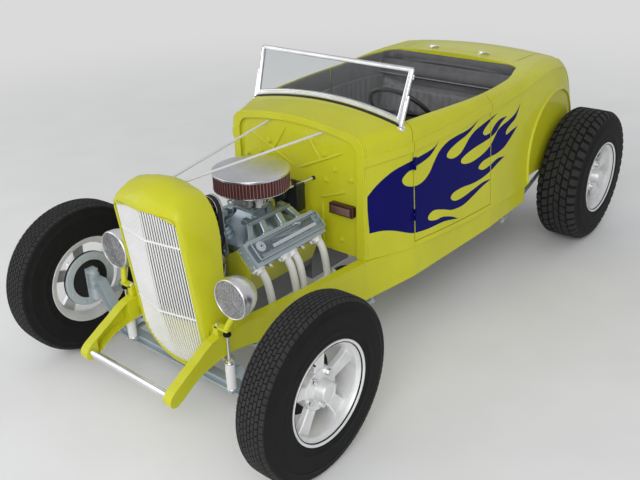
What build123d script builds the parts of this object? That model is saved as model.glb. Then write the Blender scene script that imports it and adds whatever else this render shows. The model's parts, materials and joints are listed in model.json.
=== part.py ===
from build123d import *
import os
from math import asin, cos, degrees, radians, sin, sqrt

os.makedirs("parts", exist_ok=True)

# An early-thirties open roadster built as a hot rod, in millimetres.
# +X is the car's left side, the front faces -Y and +Z is up.
# The origin is on the ground, under the middle of the whole car.
# A distance called back is measured rearwards from the front axle.

# Wheels and tyres
wheelbase = 2692
front_tyre_radius = 383
rear_tyre_radius = 404
front_tyre_width = 160
rear_tyre_width = 261
kingpin_x = 657
front_wheel_out = kingpin_x + 181
rear_wheel_out = 828
rim_radius = 220
rim_seat = 204
rim_lip = 5
rim_wall = 12
stud_circle = 72
spokes = 5
front_dish = 55
spoke_depth = 24

front_axle_y = -(wheelbase + rear_tyre_radius - front_tyre_radius) / 2

# A resting piece stands this far from its seat, and a moving one this far from its neighbours
seat_gap = 0.3
panel_gap = 5
bore_gap = 0.1

# The body's main planes and walls
firewall_back = 783
door_front_back = 1057
door_rear_back = 1689
cockpit_rear_back = wheelbase - 460
lid_front_back = wheelbase - 392
cavity_end_back = wheelbase + 148
tail_back = wheelbase + 198
quarter_back = door_rear_back + (lid_front_back - door_rear_back) * 2 / 3
rail_top = 490
body_bottom = rail_top + seat_gap
sill_height = 26
top_wall = 28
firewall_recess = 14
sheet = 12
opening_lip = 4

# Limits of cutting blocks that reach past the whole body
past_side = 800
past_top = 1300
past_floor = 400

# The outside of the body, one cross section a row
# columns: back, x_bottom, x_shoulder, z_shoulder, x_top, z_top, z_crown, x_inside
body_sections = [
    (firewall_back, 415, 406, 1030, 335, 1100, 1130, 368),
    (door_front_back, 522, 491, 1062, 436, 1116, 1156, 446),
    (door_rear_back, 598, 556, 1060, 492, 1116, 1152, 508),
    (quarter_back, 606, 571, 1048, 455, 1132, 1158, 502),
    (lid_front_back, 604, 572, 1030, 436, 1139, 1162, 500),
    (wheelbase - 212, 592, 566, 1008, 430, 1138, 1160, 500),
    (wheelbase - 52, 574, 550, 970, 422, 1120, 1143, 498),
    (wheelbase + 68, 556, 532, 880, 408, 1040, 1062, 486),
    (cavity_end_back, 540, 516, 770, 392, 920, 940, 470),
    (tail_back, 524, 500, 660, 376, 770, 788, 455),
]

# One frame rail, one cross section a row
# columns: back, x_out, z_top, z_bottom
rail_sections = [
    (-348, 300, 300, 276),
    (-338, 300, 316, 264),
    (-318, 300, 332, 260),
    (-285, 300, 350, 272),
    (-240, 300, 376, 300),
    (-190, 300, 402, 327),
    (-146, 300, 429, 338),
    (-104, 300, 448, 345),
    (-60, 300, 457, 351),
    (10, 302, 457, 355),
    (120, 308, 457, 336),
    (450, 362, 464, 308),
    (firewall_back, 425, rail_top, 280),
    (door_front_back, 520, rail_top, 325),
    (door_rear_back, 596, rail_top, 376),
    (wheelbase - 592, 598, rail_top, 392),
    (wheelbase - 442, 488, rail_top, 396),
    (wheelbase - 292, 484, 560, 500),
    (wheelbase + 28, 476, 560, 500),
    (wheelbase + 128, 460, 488, 425),
    (wheelbase + 338, 460, 488, 425),
]
rail_width = 46
flange = 5
horn_pocket = (-285, -104)


def station(back):
    """The cross plane at a distance behind the front axle, with +X and +Z in its sketch."""
    return Plane.XZ.offset(-(front_axle_y + back))


def between(rows, back, column):
    """A value of a section table at a place between its rows."""
    for near, far in zip(rows, rows[1:]):
        if near[0] <= back <= far[0]:
            share = (back - near[0]) / (far[0] - near[0])
            return near[column] + share * (far[column] - near[column])


def corner_point(start, corner, end):
    """The middle of a round corner between two points."""
    bulge = sqrt(2) - 1
    x = (start[0] + end[0]) / 2 * (1 - bulge) + corner[0] * bulge
    z = (start[1] + end[1]) / 2 * (1 - bulge) + corner[1] * bulge
    return (x, z)


def body_section(back, bottom, side, top, crown):
    """A closed cross section from its right half: corner points bottom, side, top and crown."""
    bend = corner_point(side, (side[0], top[1]), top)
    with BuildSketch(station(back)) as section:
        with BuildLine():
            Line((-bottom[0], bottom[1]), bottom)
            Line(bottom, side)
            ThreePointArc(side, bend, top)
            ThreePointArc(top, (0, crown), (-top[0], top[1]))
            ThreePointArc((-top[0], top[1]), (-bend[0], bend[1]), (-side[0], side[1]))
            Line((-side[0], side[1]), (-bottom[0], bottom[1]))
        make_face()
    return section.sketch


def body_form(grow):
    """The closed outer shape of the body, grown evenly."""
    sections = []
    for back, x_bottom, x_shoulder, z_shoulder, x_top, z_top, z_crown, x_inside in body_sections:
        bottom = (x_bottom + grow, body_bottom)
        side = (x_shoulder + grow, z_shoulder)
        top = (x_top + grow / 2, z_top + grow)
        sections.append(body_section(back, bottom, side, top, z_crown + grow))
    with BuildPart() as form:
        loft(sections=sections, ruled=True)
    return form.part


def cavity_form(shrink):
    """The space inside the body, from the firewall's flange to the tail, shrunk evenly."""
    sections = []
    for back, x_bottom, x_shoulder, z_shoulder, x_top, z_top, z_crown, x_inside in body_sections[:-1]:
        bottom = (x_inside - shrink, body_bottom - sheet)
        side = (x_inside - shrink, z_shoulder - top_wall)
        top = (x_top - top_wall - shrink, z_top - top_wall - shrink)
        sections.append(body_section(back, bottom, side, top, z_crown - top_wall - shrink))
    with BuildPart() as form:
        loft(sections=sections, ruled=True)
    return form.part


def block(x_from, x_to, back_from, back_to, z_from, z_to):
    """A box between two distances behind the front axle."""
    with BuildPart() as box:
        with BuildSketch(Plane.XY.offset(z_from)):
            with Locations(((x_from + x_to) / 2, front_axle_y + (back_from + back_to) / 2)):
                Rectangle(x_to - x_from, back_to - back_from)
        extrude(amount=z_to - z_from)
    return box.part


def across(points, back_from, back_to):
    """A closed outline in X and Z, carried from one distance behind the front axle to another."""
    with BuildPart() as prism:
        with BuildSketch(station(back_from)):
            with BuildLine():
                Polyline(*points, close=True)
            make_face()
        extrude(amount=-(back_to - back_from))
    return prism.part


def sideways(points, x_from, x_to):
    """A closed outline in back and Z, carried from one X to another."""
    with BuildPart() as prism:
        with BuildSketch(Plane.YZ.offset(x_from)):
            with BuildLine():
                Polyline(*[(front_axle_y + back, z) for back, z in points], close=True)
            make_face()
        extrude(amount=x_to - x_from)
    return prism.part


def disc(x_from, x_to, back, z, radius):
    """A round plate lying across the car, between two X."""
    with BuildPart() as plate:
        with BuildSketch(Plane.YZ.offset(x_from)):
            with Locations((front_axle_y + back, z)):
                Circle(radius)
        extrude(amount=x_to - x_from)
    return plate.part


def bar(start, end, radius):
    """A round bar between two points given as X, back and Z."""
    first = Vector(start[0], front_axle_y + start[1], start[2])
    last = Vector(end[0], front_axle_y + end[1], end[2])
    run = last - first
    with BuildPart() as rod:
        with BuildSketch(Plane(origin=first, z_dir=run.normalized())):
            Circle(radius)
        extrude(amount=run.length)
    return rod.part


def upright(x, back, z_from, z_to, radius):
    """A round upright cylinder."""
    with BuildPart() as post:
        with BuildSketch(Plane.XY.offset(z_from)):
            with Locations((x, front_axle_y + back)):
                Circle(radius)
        extrude(amount=z_to - z_from)
    return post.part


def both_sides(piece):
    """A left piece with its mirror image on the right."""
    return [piece, mirror(piece, about=Plane.YZ)]


def save(builder, name):
    """Label a finished piece and write it to its own file."""
    builder.part.label = name
    export_step(builder.part, "parts/" + name + ".step")


# Frame rails: curled horns in front, kicked up over the rear axle
with BuildPart() as frame_rail_left:
    rail_faces = []
    for back, x_out, z_top, z_bottom in rail_sections:
        with BuildSketch(station(back)) as rail_face:
            with Locations((x_out - rail_width / 2, (z_top + z_bottom) / 2)):
                Rectangle(rail_width, z_top - z_bottom)
        rail_faces.append(rail_face.sketch)
    loft(sections=rail_faces, ruled=True)
    pocket_faces = []
    for back, x_out, z_top, z_bottom in rail_sections:
        if horn_pocket[0] <= back <= horn_pocket[1]:
            with BuildSketch(station(back)) as pocket_face:
                with Locations((x_out - flange - rail_width / 2, (z_top + z_bottom) / 2)):
                    Rectangle(rail_width, z_top - z_bottom - 2.6 * flange)
            pocket_faces.append(pocket_face.sketch)
    loft(sections=pocket_faces, ruled=True, mode=Mode.SUBTRACT)
save(frame_rail_left, "frame_rail_left")

with BuildPart() as frame_rail_right:
    mirror(frame_rail_left.part, about=Plane.YZ)
save(frame_rail_right, "frame_rail_right")

# Crossmembers, each as wide as the narrowest place between the rails; the middle one dips under
# the gearbox
front_member_length = 90
front_member_top = 452
front_member_bottom = 398
middle_member_back = 1200
middle_member_dip = 102
gearbox_tail_bottom = 330
rear_member_back = wheelbase - 80
rear_member_bottom = 528
# columns: back, length, z_top, z_bottom, drop of the middle
member_rows = [
    (0, front_member_length, front_member_top, front_member_bottom, 0),
    (middle_member_back, 70, gearbox_tail_bottom - seat_gap + middle_member_dip, 386, middle_member_dip),
    (rear_member_back, 50, 560, rear_member_bottom, 0),
]
dip_half = 120
dip_slope = 70
with BuildPart() as crossmembers:
    for back, length, z_top, z_bottom, drop in member_rows:
        reach = min(between(rail_sections, back + step, 1) for step in (-length / 2, length / 2))
        reach = reach - rail_width - seat_gap
        upper = [(reach, z_top), (dip_half + dip_slope, z_top), (dip_half, z_top - drop)]
        lower = [(dip_half, z_bottom - drop), (dip_half + dip_slope, z_bottom), (reach, z_bottom)]
        if drop == 0:
            upper = upper[:1]
            lower = lower[-1:]
        outline = upper + [(-x, z) for x, z in reversed(upper)]
        outline = outline + [(-x, z) for x, z in reversed(lower)] + lower
        add(across(outline, back - length / 2, back + length / 2))
save(crossmembers, "crossmembers")

# Spreader bar between the tips of the horns
spreader_back = -320
spreader_z = 296
spreader_radius = 17
horn_reach = rail_sections[0][1] - rail_width - seat_gap
with BuildPart() as spreader_bar:
    add(bar((-horn_reach, spreader_back, spreader_z), (horn_reach, spreader_back, spreader_z),
            spreader_radius))
save(spreader_bar, "spreader_bar")

# Front axle: a dropped I-beam with a boss at each end for the kingpin
kingpin_radius = 11
boss_radius = 28
boss_height = 76
beam_width = 45
beam_top = 203
beam_bottom = 153
beam_web = 12
beam_flange = 11
drop_inside = kingpin_x - 227
drop_outside = kingpin_x - 67
axle_z = front_tyre_radius
shock_x = 332
shock_back = -48
beam_outline = [
    (kingpin_x, axle_z + boss_height / 3), (drop_outside, axle_z + boss_height / 3),
    (drop_inside, beam_top), (-drop_inside, beam_top),
    (-drop_outside, axle_z + boss_height / 3), (-kingpin_x, axle_z + boss_height / 3),
    (-kingpin_x, axle_z - boss_height / 3), (-drop_outside - 30, axle_z - boss_height / 3),
    (-drop_inside - 40, beam_bottom), (drop_inside + 40, beam_bottom),
    (drop_outside + 30, axle_z - boss_height / 3), (kingpin_x, axle_z - boss_height / 3),
]
with BuildPart() as front_axle:
    add(across(beam_outline, -beam_width / 2, beam_width / 2))
    for face_back, depth in ((-beam_width / 2, -1), (beam_width / 2, 1)):
        with BuildSketch(station(face_back)):
            with BuildLine():
                Polyline(*beam_outline, close=True)
            make_face()
            offset(amount=-beam_flange, mode=Mode.REPLACE)
        extrude(amount=depth * (beam_width - beam_web) / 2, mode=Mode.SUBTRACT)
    for side in (-1, 1):
        add(upright(side * kingpin_x, 0, axle_z - boss_height / 2, axle_z + boss_height / 2,
                    boss_radius))
        add(upright(side * kingpin_x, 0, axle_z - boss_height, axle_z + boss_height,
                    kingpin_radius + bore_gap), mode=Mode.SUBTRACT)
    for tab in both_sides(block(shock_x - 16, shock_x + 16, shock_back - 18, -beam_width / 2 + 2,
                                beam_top - beam_flange, beam_top)):
        add(tab)
save(front_axle, "front_axle")

# Transverse leaf spring under the front crossmember, its eyes over the beam
leaf = 9
leaf_width = 44
eye_radius = 15
eye_z = beam_top + eye_radius + seat_gap
leaf_reaches = [404, 320, 232, 150]
spring_rise = front_member_bottom - seat_gap - leaf * len(leaf_reaches) - eye_z
spring_radius = (leaf_reaches[0] ** 2 + spring_rise ** 2) / (2 * spring_rise)
spring_centre_z = eye_z + spring_rise - spring_radius
with BuildPart() as front_spring:
    for order, reach in enumerate(leaf_reaches):
        radius = spring_radius + order * leaf
        half_angle = degrees(asin(reach / radius))
        with BuildSketch(station(-leaf_width / 2)):
            with BuildLine():
                low = CenterArc((0, spring_centre_z), radius, 90 - half_angle, 2 * half_angle)
                high = CenterArc((0, spring_centre_z), radius + leaf, 90 - half_angle, 2 * half_angle)
                Line(low @ 0, high @ 0)
                Line(low @ 1, high @ 1)
            make_face()
        extrude(amount=-leaf_width)
    for side in (-1, 1):
        add(bar((side * leaf_reaches[0], -leaf_width / 2, eye_z),
                (side * leaf_reaches[0], leaf_width / 2, eye_z), eye_radius))
save(front_spring, "front_spring")

# Radius rods: hairpins in front, single bars at the rear, each with a ball end under its rail
rod_radius = 11
ball_radius = 17
front_ball = (415, 843, 248)
rear_ball = (566, wheelbase - 792, 335)
rear_rod_x = 455
axle_tube_radius = 38
hairpin_x = 446
batwing = 10


def ball_end(place):
    """A ball on a stud that reaches up to the rail's underside."""
    x, back, z = place
    rail_under = between(rail_sections, back, 3)
    with BuildPart() as end:
        with Locations((x, front_axle_y + back, z)):
            Sphere(ball_radius)
        add(upright(x, back, z, rail_under - 2, ball_radius / 2))
    return end.part


with BuildPart() as radius_rods:
    wing_back = beam_width / 2 + seat_gap
    for z in (beam_top - 10, beam_bottom + 6):
        for rod in both_sides(bar((hairpin_x, wing_back + batwing / 2, z), front_ball, rod_radius)):
            add(rod)
    wing = block(hairpin_x - 14, hairpin_x + 14, wing_back, wing_back + batwing, beam_bottom, beam_top)
    for piece in both_sides(wing) + both_sides(ball_end(front_ball)) + both_sides(ball_end(rear_ball)):
        add(piece)
    for rod in both_sides(bar(rear_ball, (rear_rod_x, wheelbase, rear_tyre_radius), rod_radius)):
        add(rod)
    add(disc(-past_side, past_side, wheelbase, rear_tyre_radius, axle_tube_radius + seat_gap),
        mode=Mode.SUBTRACT)
save(radius_rods, "radius_rods")

# Headlights on posts that stand on the rails, beside the tops of the front shocks
lamp_x = 372
lamp_back = 10
lamp_z = 656
lamp_radius = 89
lamp_depth = 130
lamp_rim = 30
post_back = shock_back
post_length = 34
post_foot = 457 + seat_gap
post_top = 507
arm_depth = 12
with BuildPart() as headlight_left:
    lens_y = front_axle_y + lamp_back - lamp_depth / 2
    with BuildSketch(Plane.YZ.offset(lamp_x)):
        with BuildLine():
            rim_line = Line((lens_y, lamp_z + lamp_radius), (lens_y + lamp_rim, lamp_z + lamp_radius))
            bowl_end = (lens_y + lamp_depth, lamp_z)
            bowl_mid = (lens_y + lamp_depth * 0.78, lamp_z + lamp_radius * 0.67)
            bowl = ThreePointArc(rim_line @ 1, bowl_mid, bowl_end)
            Line(bowl @ 1, (lens_y - 8, lamp_z))
            ThreePointArc((lens_y - 8, lamp_z), (lens_y - 6, lamp_z + lamp_radius / 2), rim_line @ 0)
        make_face()
    revolve(axis=Axis((lamp_x, lens_y, lamp_z), (0, 1, 0)))
    rail_edge = between(rail_sections, post_back, 1)
    add(block(rail_edge - rail_width + 10, rail_edge - 6, post_back - post_length / 2,
              post_back + post_length / 2, post_foot, post_top))
    add(block(rail_edge - rail_width + 10, shock_x + 16, post_back - post_length / 2,
              post_back + post_length / 2, post_top - arm_depth, post_top))
    add(bar((shock_x, post_back, post_top - 4), (lamp_x - 6, lamp_back - 20, lamp_z - 60), 13))
save(headlight_left, "headlight_left")

with BuildPart() as headlight_right:
    mirror(headlight_left.part, about=Plane.YZ)
save(headlight_right, "headlight_right")

# Shocks: tubular in front, coil-overs at the rear
shock_body = 20
shock_rod = 7
shock_joint = 345
coilover_x = 380
coilover_radius = 34
axle_pad_top = rear_tyre_radius + 12
with BuildPart() as shocks:
    shock_top = post_top - arm_depth - seat_gap
    rear_top = rear_member_bottom - seat_gap
    pieces = both_sides(upright(shock_x, shock_back, beam_top + seat_gap, shock_joint, shock_body))
    pieces = pieces + both_sides(upright(shock_x, shock_back, shock_joint - 1, shock_top, shock_rod))
    pieces = pieces + both_sides(upright(coilover_x, rear_member_back, axle_pad_top + seat_gap,
                                         rear_top, coilover_radius))
    for piece in pieces:
        add(piece)
save(shocks, "shocks")

# Rear axle: tubes, differential, brake drums, stub shafts and the propeller shaft
drum_radius = 140
drum_inside = rear_wheel_out - 280
drum_depth = 46
stub_radius = 18
rear_stub_end = rear_wheel_out - 90
diff_radius = 118
propeller_radius = 32
gearbox_end_back = 1290
rear_z = rear_tyre_radius
with BuildPart() as rear_axle:
    add(disc(-drum_inside, drum_inside, wheelbase, rear_z, axle_tube_radius))
    with Locations((0, front_axle_y + wheelbase, rear_z)):
        Sphere(diff_radius)
    for pad in both_sides(block(coilover_x - 30, coilover_x + 30, rear_member_back - coilover_radius - 4,
                                wheelbase - axle_tube_radius / 2, rear_z, axle_pad_top)):
        add(pad)
    for side in (-1, 1):
        add(disc(side * drum_inside, side * (drum_inside + drum_depth), wheelbase, rear_z, drum_radius))
        add(disc(side * drum_inside, side * rear_stub_end, wheelbase, rear_z, stub_radius))
    add(bar((0, gearbox_end_back + 2, 384), (0, wheelbase - diff_radius / 2, rear_z),
            propeller_radius))
save(rear_axle, "rear_axle")

# Fuel tank between the rear horns
tank_front_back = wheelbase + 178
tank_rear_back = wheelbase + 343
tank_bottom = 372
tank_round = 34
with BuildPart() as fuel_tank:
    tank_reach = rail_sections[-1][1] - rail_width - seat_gap
    add(block(-tank_reach, tank_reach, tank_front_back, tank_rear_back, tank_bottom, rail_top - 4))
    fillet(fuel_tank.edges().filter_by(Axis.X), radius=tank_round)
save(fuel_tank, "fuel_tank")

# Engine: a small V8 with its banks at 45 degrees each way
crank_z = 474
engine_front = 240
engine_rear = 712
deck = 228
head_top = 285
cover_top = 327
head_half = 62
cover_half = 48
bellhousing_rear = 768
bellhousing_radius = 150
pan_bottom = 292
gearbox_half = 98
gearbox_top = rail_top - 20
gearbox_bottom = 300
distributor_back = engine_rear - 42
distributor_radius = 20


def bank_point(side, along, sideways_out):
    """X and Z of a point of a cylinder bank: along its axis, and outwards across it."""
    x = side * (along + sideways_out) / sqrt(2)
    z = crank_z + (along - sideways_out) / sqrt(2)
    return (x, z)


def bank_prism(side, low, high, inner, outer, back_from, back_to):
    """A box that lies along a cylinder bank."""
    corners = [
        bank_point(side, low, inner), bank_point(side, low, outer),
        bank_point(side, high, outer), bank_point(side, high, inner),
    ]
    return across(corners, back_from, back_to)


with BuildPart() as engine_block:
    half = [bank_point(1, deck, -head_half), bank_point(1, deck, head_half),
            (168, crank_z + 30), (130, crank_z - 60)]
    outline = [(0, crank_z + 128)] + half + [(-x, z) for x, z in reversed(half)]
    add(across(outline, engine_front, engine_rear))
    add(across([(-118, crank_z - 60), (118, crank_z - 60), (92, pan_bottom), (-92, pan_bottom)],
               engine_front + 60, engine_rear - 20))
    with BuildSketch(station(engine_rear)):
        with Locations((0, crank_z)):
            Circle(bellhousing_radius)
    with BuildSketch(station(bellhousing_rear)):
        with Locations((0, crank_z - 40)):
            Circle(gearbox_half - 4)
    loft(ruled=True)
    add(block(-gearbox_half, gearbox_half, bellhousing_rear - 2, bellhousing_rear + 300,
              gearbox_bottom, gearbox_top - 10))
    add(block(-gearbox_half + 36, gearbox_half - 36, bellhousing_rear + 290, gearbox_end_back,
              gearbox_tail_bottom, gearbox_top - 40))
    add(upright(0, distributor_back, crank_z + 100, 765, distributor_radius))
    add(upright(0, distributor_back, 765, 842, 2 * distributor_radius))
save(engine_block, "engine_block")

with BuildPart() as cylinder_heads:
    for side in (-1, 1):
        add(bank_prism(side, deck + seat_gap, head_top, -head_half, head_half,
                       engine_front + 4, engine_rear - 4))
save(cylinder_heads, "cylinder_heads")

# Valve covers with a raised rib and two breather caps each
breather_radius = 24
rib_height = 5
with BuildPart() as valve_covers:
    for side in (-1, 1):
        add(bank_prism(side, head_top + seat_gap, cover_top, -cover_half, cover_half,
                       engine_front + 6, engine_rear + 2))
    top_edges = valve_covers.edges().filter_by(Axis.Y).filter_by(
        lambda edge: edge.center().Z > crank_z + (cover_top - cover_half) / sqrt(2) - 1)
    fillet(top_edges, radius=9)
    for side in (-1, 1):
        add(bank_prism(side, cover_top - 1, cover_top + rib_height, -10, 10,
                       engine_front + 80, engine_rear - 70))
        for back in (engine_front + 42, engine_rear - 34):
            foot = bank_point(side, cover_top - 1, 0)
            tip = bank_point(side, cover_top + 14, 0)
            add(bar((foot[0], back, foot[1]), (tip[0], back, tip[1]), breather_radius))
save(valve_covers, "valve_covers")

# Intake manifold: a plate over the valley, a plenum and eight runners
plenum_top = 790
runner_width = 36
plenum_half = 66
plenum_front = 400
plenum_rear = 564
port_backs = [engine_front + 20, engine_front + 184, engine_front + 238, engine_front + 412]


def leaning_runner(side, back, shift, low, high, plenum_low):
    """An intake runner from its port on the head to the plenum, which it meets further in."""
    port = Vector(side * (low[0] + high[0]) / 2, front_axle_y + back, (low[1] + high[1]) / 2)
    out = Vector(-side, 0, 1).normalized()
    height = (Vector(high[0], 0, high[1]) - Vector(low[0], 0, low[1])).length
    with BuildPart() as runner:
        with BuildSketch(Plane(origin=port, x_dir=(0, 1, 0), z_dir=out)) as port_face:
            Rectangle(runner_width, height)
        with BuildSketch(Plane(origin=(side * (plenum_half - 6), front_axle_y + back + shift,
                                       (plenum_low + plenum_top - 8) / 2),
                               x_dir=(0, 1, 0), z_dir=(-side, 0, 0))) as plenum_face:
            Rectangle(runner_width, plenum_top - 8 - plenum_low)
        loft(sections=[port_face.sketch, plenum_face.sketch], ruled=True)
    return runner.part


with BuildPart() as intake_manifold:
    port_low = bank_point(1, deck + 14, -head_half - seat_gap)
    port_high = bank_point(1, head_top - 4, -head_half - seat_gap)
    valley_top = port_low[1] + 24
    add(across([(-port_low[0], port_low[1]), (port_low[0], port_low[1]),
                (port_low[0] - 24, valley_top), (-port_low[0] + 24, valley_top)],
               engine_front + 4, engine_rear - 4))
    add(upright(0, distributor_back, port_low[1] - 10, valley_top + 10, distributor_radius + 4),
        mode=Mode.SUBTRACT)
    add(block(-plenum_half, plenum_half, plenum_front, plenum_rear, valley_top - 2, plenum_top))
    add(upright(0, engine_front + 40, valley_top - 2, valley_top + 52, 30))
    for side in (-1, 1):
        for back in port_backs:
            reach = min(max(back, plenum_front + runner_width / 2), plenum_rear - runner_width / 2)
            shift = reach - back
            add(leaning_runner(side, back, shift, port_low, port_high, valley_top))
save(intake_manifold, "intake_manifold")

# Carburettor: base, two float bowls and a round throat
filter_bottom = 875
carb_back = 482
with BuildPart() as carburettor:
    add(block(-58, 58, carb_back - 70, carb_back + 70, plenum_top + seat_gap, plenum_top + 24))
    add(block(-44, 44, carb_back - 44, carb_back + 44, plenum_top + 20, filter_bottom - 26))
    add(block(-52, 52, carb_back - 82, carb_back - 40, plenum_top + 30, plenum_top + 66))
    add(block(-52, 52, carb_back + 40, carb_back + 82, plenum_top + 30, plenum_top + 66))
    add(upright(0, carb_back, filter_bottom - 30, filter_bottom - seat_gap, 62))
save(carburettor, "carburettor")

# Air cleaner: base pan, element and lid in one stack
filter_radius = 180
element_radius = 175
lid_bottom = 955
lid_top = 966
with BuildPart() as air_cleaner:
    add(upright(0, carb_back, filter_bottom, filter_bottom + 8, filter_radius))
    add(upright(0, carb_back, filter_bottom + 8, lid_bottom, element_radius))
    add(upright(0, carb_back, lid_bottom, lid_top, filter_radius))
    add(upright(0, carb_back, lid_top, lid_top + 6, filter_radius - 26))
save(air_cleaner, "air_cleaner")

# Exhaust headers: four pipes a side that curve down into a collector
pipe_radius = 21
collector_radius = 25
collector_x = 244
collector_z = 372
collector_end_back = 760
with BuildPart() as headers_left:
    port = bank_point(1, (deck + head_top) / 2, head_half + seat_gap)
    for back in port_backs:
        y = front_axle_y + back
        with BuildLine() as route:
            FilletPolyline(
                (port[0], y, port[1]), (port[0] + 26, y, port[1] - 26),
                (collector_x + 2, y + 40, port[1] - 110), (collector_x, y + 60, collector_z),
                radius=30)
        with BuildSketch(Plane(origin=route.line @ 0, z_dir=route.line % 0)):
            Circle(pipe_radius)
        sweep(path=route.line)
    add(bar((collector_x, port_backs[0] + 36, collector_z), (collector_x, collector_end_back, collector_z),
            collector_radius))
save(headers_left, "headers_left")

with BuildPart() as headers_right:
    mirror(headers_left.part, about=Plane.YZ)
save(headers_right, "headers_right")

# Exhaust pipes with their mufflers, under the floor
muffler_radius = 52
tip_radius = 25
tip_wall = 3
tip_bore = 70
exhaust_low_z = 318
exhaust_end_back = 2180
with BuildPart() as exhaust_pipes:
    left_pipe = [
        (collector_x, collector_end_back + seat_gap, collector_z),
        (collector_x, collector_end_back + 60, collector_z),
        (collector_x + 30, 1000, exhaust_low_z),
        (320, 1500, exhaust_low_z),
        (350, 2060, exhaust_low_z),
    ]
    with BuildLine() as route:
        FilletPolyline(*[(x, front_axle_y + back, z) for x, back, z in left_pipe], radius=55)
    with BuildSketch(Plane(origin=route.line @ 0, z_dir=route.line % 0)):
        Circle(tip_radius)
    sweep(path=route.line)
    add(bar((350, 2060, exhaust_low_z), (350, exhaust_end_back, exhaust_low_z), tip_radius))
    add(bar((350, exhaust_end_back - tip_bore, exhaust_low_z), (350, exhaust_end_back, exhaust_low_z),
            tip_radius - tip_wall), mode=Mode.SUBTRACT)
    add(bar((326, 1600, exhaust_low_z), (346, 1980, exhaust_low_z), muffler_radius))
    mirror(about=Plane.YZ)
save(exhaust_pipes, "exhaust_pipes")

# Water pump, pulleys, belt and fan in front of the engine
fan_z = 598
fan_radius = 185
fan_back = 112
blade_width = 58
blade_pitch = 28
with BuildPart() as fan_and_pulleys:
    add(bar((0, engine_front - 34, crank_z), (0, engine_front - seat_gap, crank_z), 72))
    add(bar((0, fan_back, fan_z), (0, engine_front - seat_gap, fan_z), 30))
    add(bar((0, engine_front - 34, fan_z), (0, engine_front - 10, fan_z), 62))
    add(bar((0, fan_back - 10, fan_z), (0, fan_back + 14, fan_z), 44))
    add(across([(-62, fan_z), (62, fan_z), (72, crank_z), (-72, crank_z)],
               engine_front - 30, engine_front - 14))
    for turn in range(5):
        angle = radians(72 * turn + 18)
        radial = Vector(cos(angle), 0, sin(angle))
        tangent = Vector(-sin(angle), 0, cos(angle))
        face = tangent * sin(radians(blade_pitch)) - Vector(0, cos(radians(blade_pitch)), 0)
        with BuildSketch(Plane(origin=(0, front_axle_y + fan_back, fan_z), x_dir=radial, z_dir=face)):
            with Locations((fan_radius / 2 + 12, 0)):
                Rectangle(fan_radius - 24, blade_width)
        extrude(amount=2, both=True)
save(fan_and_pulleys, "fan_and_pulleys")

# Radiator core inside the shell, standing on the front crossmember
radiator_front = -22
radiator_rear = 40
radiator_half = 196
radiator_top = 900
tank_half = 130
tank_top = 975
with BuildPart() as radiator:
    add(block(-radiator_half, radiator_half, radiator_front, radiator_rear,
              front_member_top + seat_gap, radiator_top))
    add(block(-tank_half, tank_half, radiator_front, radiator_rear, radiator_top, tank_top))
    add(upright(70, radiator_rear - 20, tank_top - 2, tank_top + 12, 20))
save(radiator, "radiator")

# Radiator shell, one front outline a row; its bottom is a half circle between the horns
# columns: back at the top, back at the bottom, half width, z of corner, corner inset, z_crown
shell_sections = [
    (-137, -52, 200, 955, 34, 1004),
    (-95, -44, 222, 920, 92, 1061),
    (-30, -30, 232, 870, 124, 1087),
    (52, 52, 234, 845, 126, 1058),
]
shell_low = 401
shell_ref = 974
opening_half = 189
opening_top = 984
opening_corner = 30
shell_wall = 15
apron_back = -37
apron_thick = 5
apron_top = 345


def front_plane(top_back, low_back):
    """A plane across the car that leans between two distances behind the front axle."""
    lean = (top_back - low_back) / (shell_ref - 237)
    up = Vector(0, lean, 1).normalized()
    origin = Vector(0, front_axle_y + top_back - lean * shell_ref, 0)
    return Plane(origin=origin, x_dir=(1, 0, 0), z_dir=Vector(1, 0, 0).cross(up))


def shell_outline(row, inset):
    """The closed front outline of the shell, pulled inwards."""
    top_back, low_back, half, corner_z, corner_inset, crown = row
    half = half - inset
    crown = crown - inset
    top = (half - corner_inset, crown - (half - corner_inset) * 0.16)
    side = (half, corner_z - inset)
    bend = corner_point(side, (half, top[1]), top)
    low_z = shell_low + inset * 0.2
    with BuildSketch(front_plane(top_back, low_back)) as outline_face:
        with BuildLine():
            ThreePointArc((-half, low_z), (0, low_z - half + 13), (half, low_z))
            Line((half, low_z), side)
            ThreePointArc(side, bend, top)
            ThreePointArc(top, (0, crown), (-top[0], top[1]))
            ThreePointArc((-top[0], top[1]), (-bend[0], bend[1]), (-side[0], side[1]))
            Line((-side[0], side[1]), (-half, low_z))
        make_face()
    return outline_face.sketch


def opening_prism(gap):
    """The grille opening as a prism along the car, pulled inwards by a gap."""
    wide = opening_half - gap
    high = opening_top - gap
    foot = (wide, high - opening_corner)
    shoulder = (wide - opening_corner, high - 4)
    bend = corner_point(foot, (wide, high - 6), shoulder)
    with BuildPart() as prism:
        with BuildSketch(station(-260)):
            with BuildLine():
                ThreePointArc((-wide, shell_low), (0, shell_low - wide + 17), (wide, shell_low))
                Line((wide, shell_low), foot)
                ThreePointArc(foot, bend, shoulder)
                ThreePointArc(shoulder, (0, high + 4), (-shoulder[0], shoulder[1]))
                ThreePointArc((-shoulder[0], shoulder[1]), (-bend[0], bend[1]), (-foot[0], foot[1]))
                Line((-foot[0], foot[1]), (-wide, shell_low))
            make_face()
        extrude(amount=-300)
    return prism.part


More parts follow.
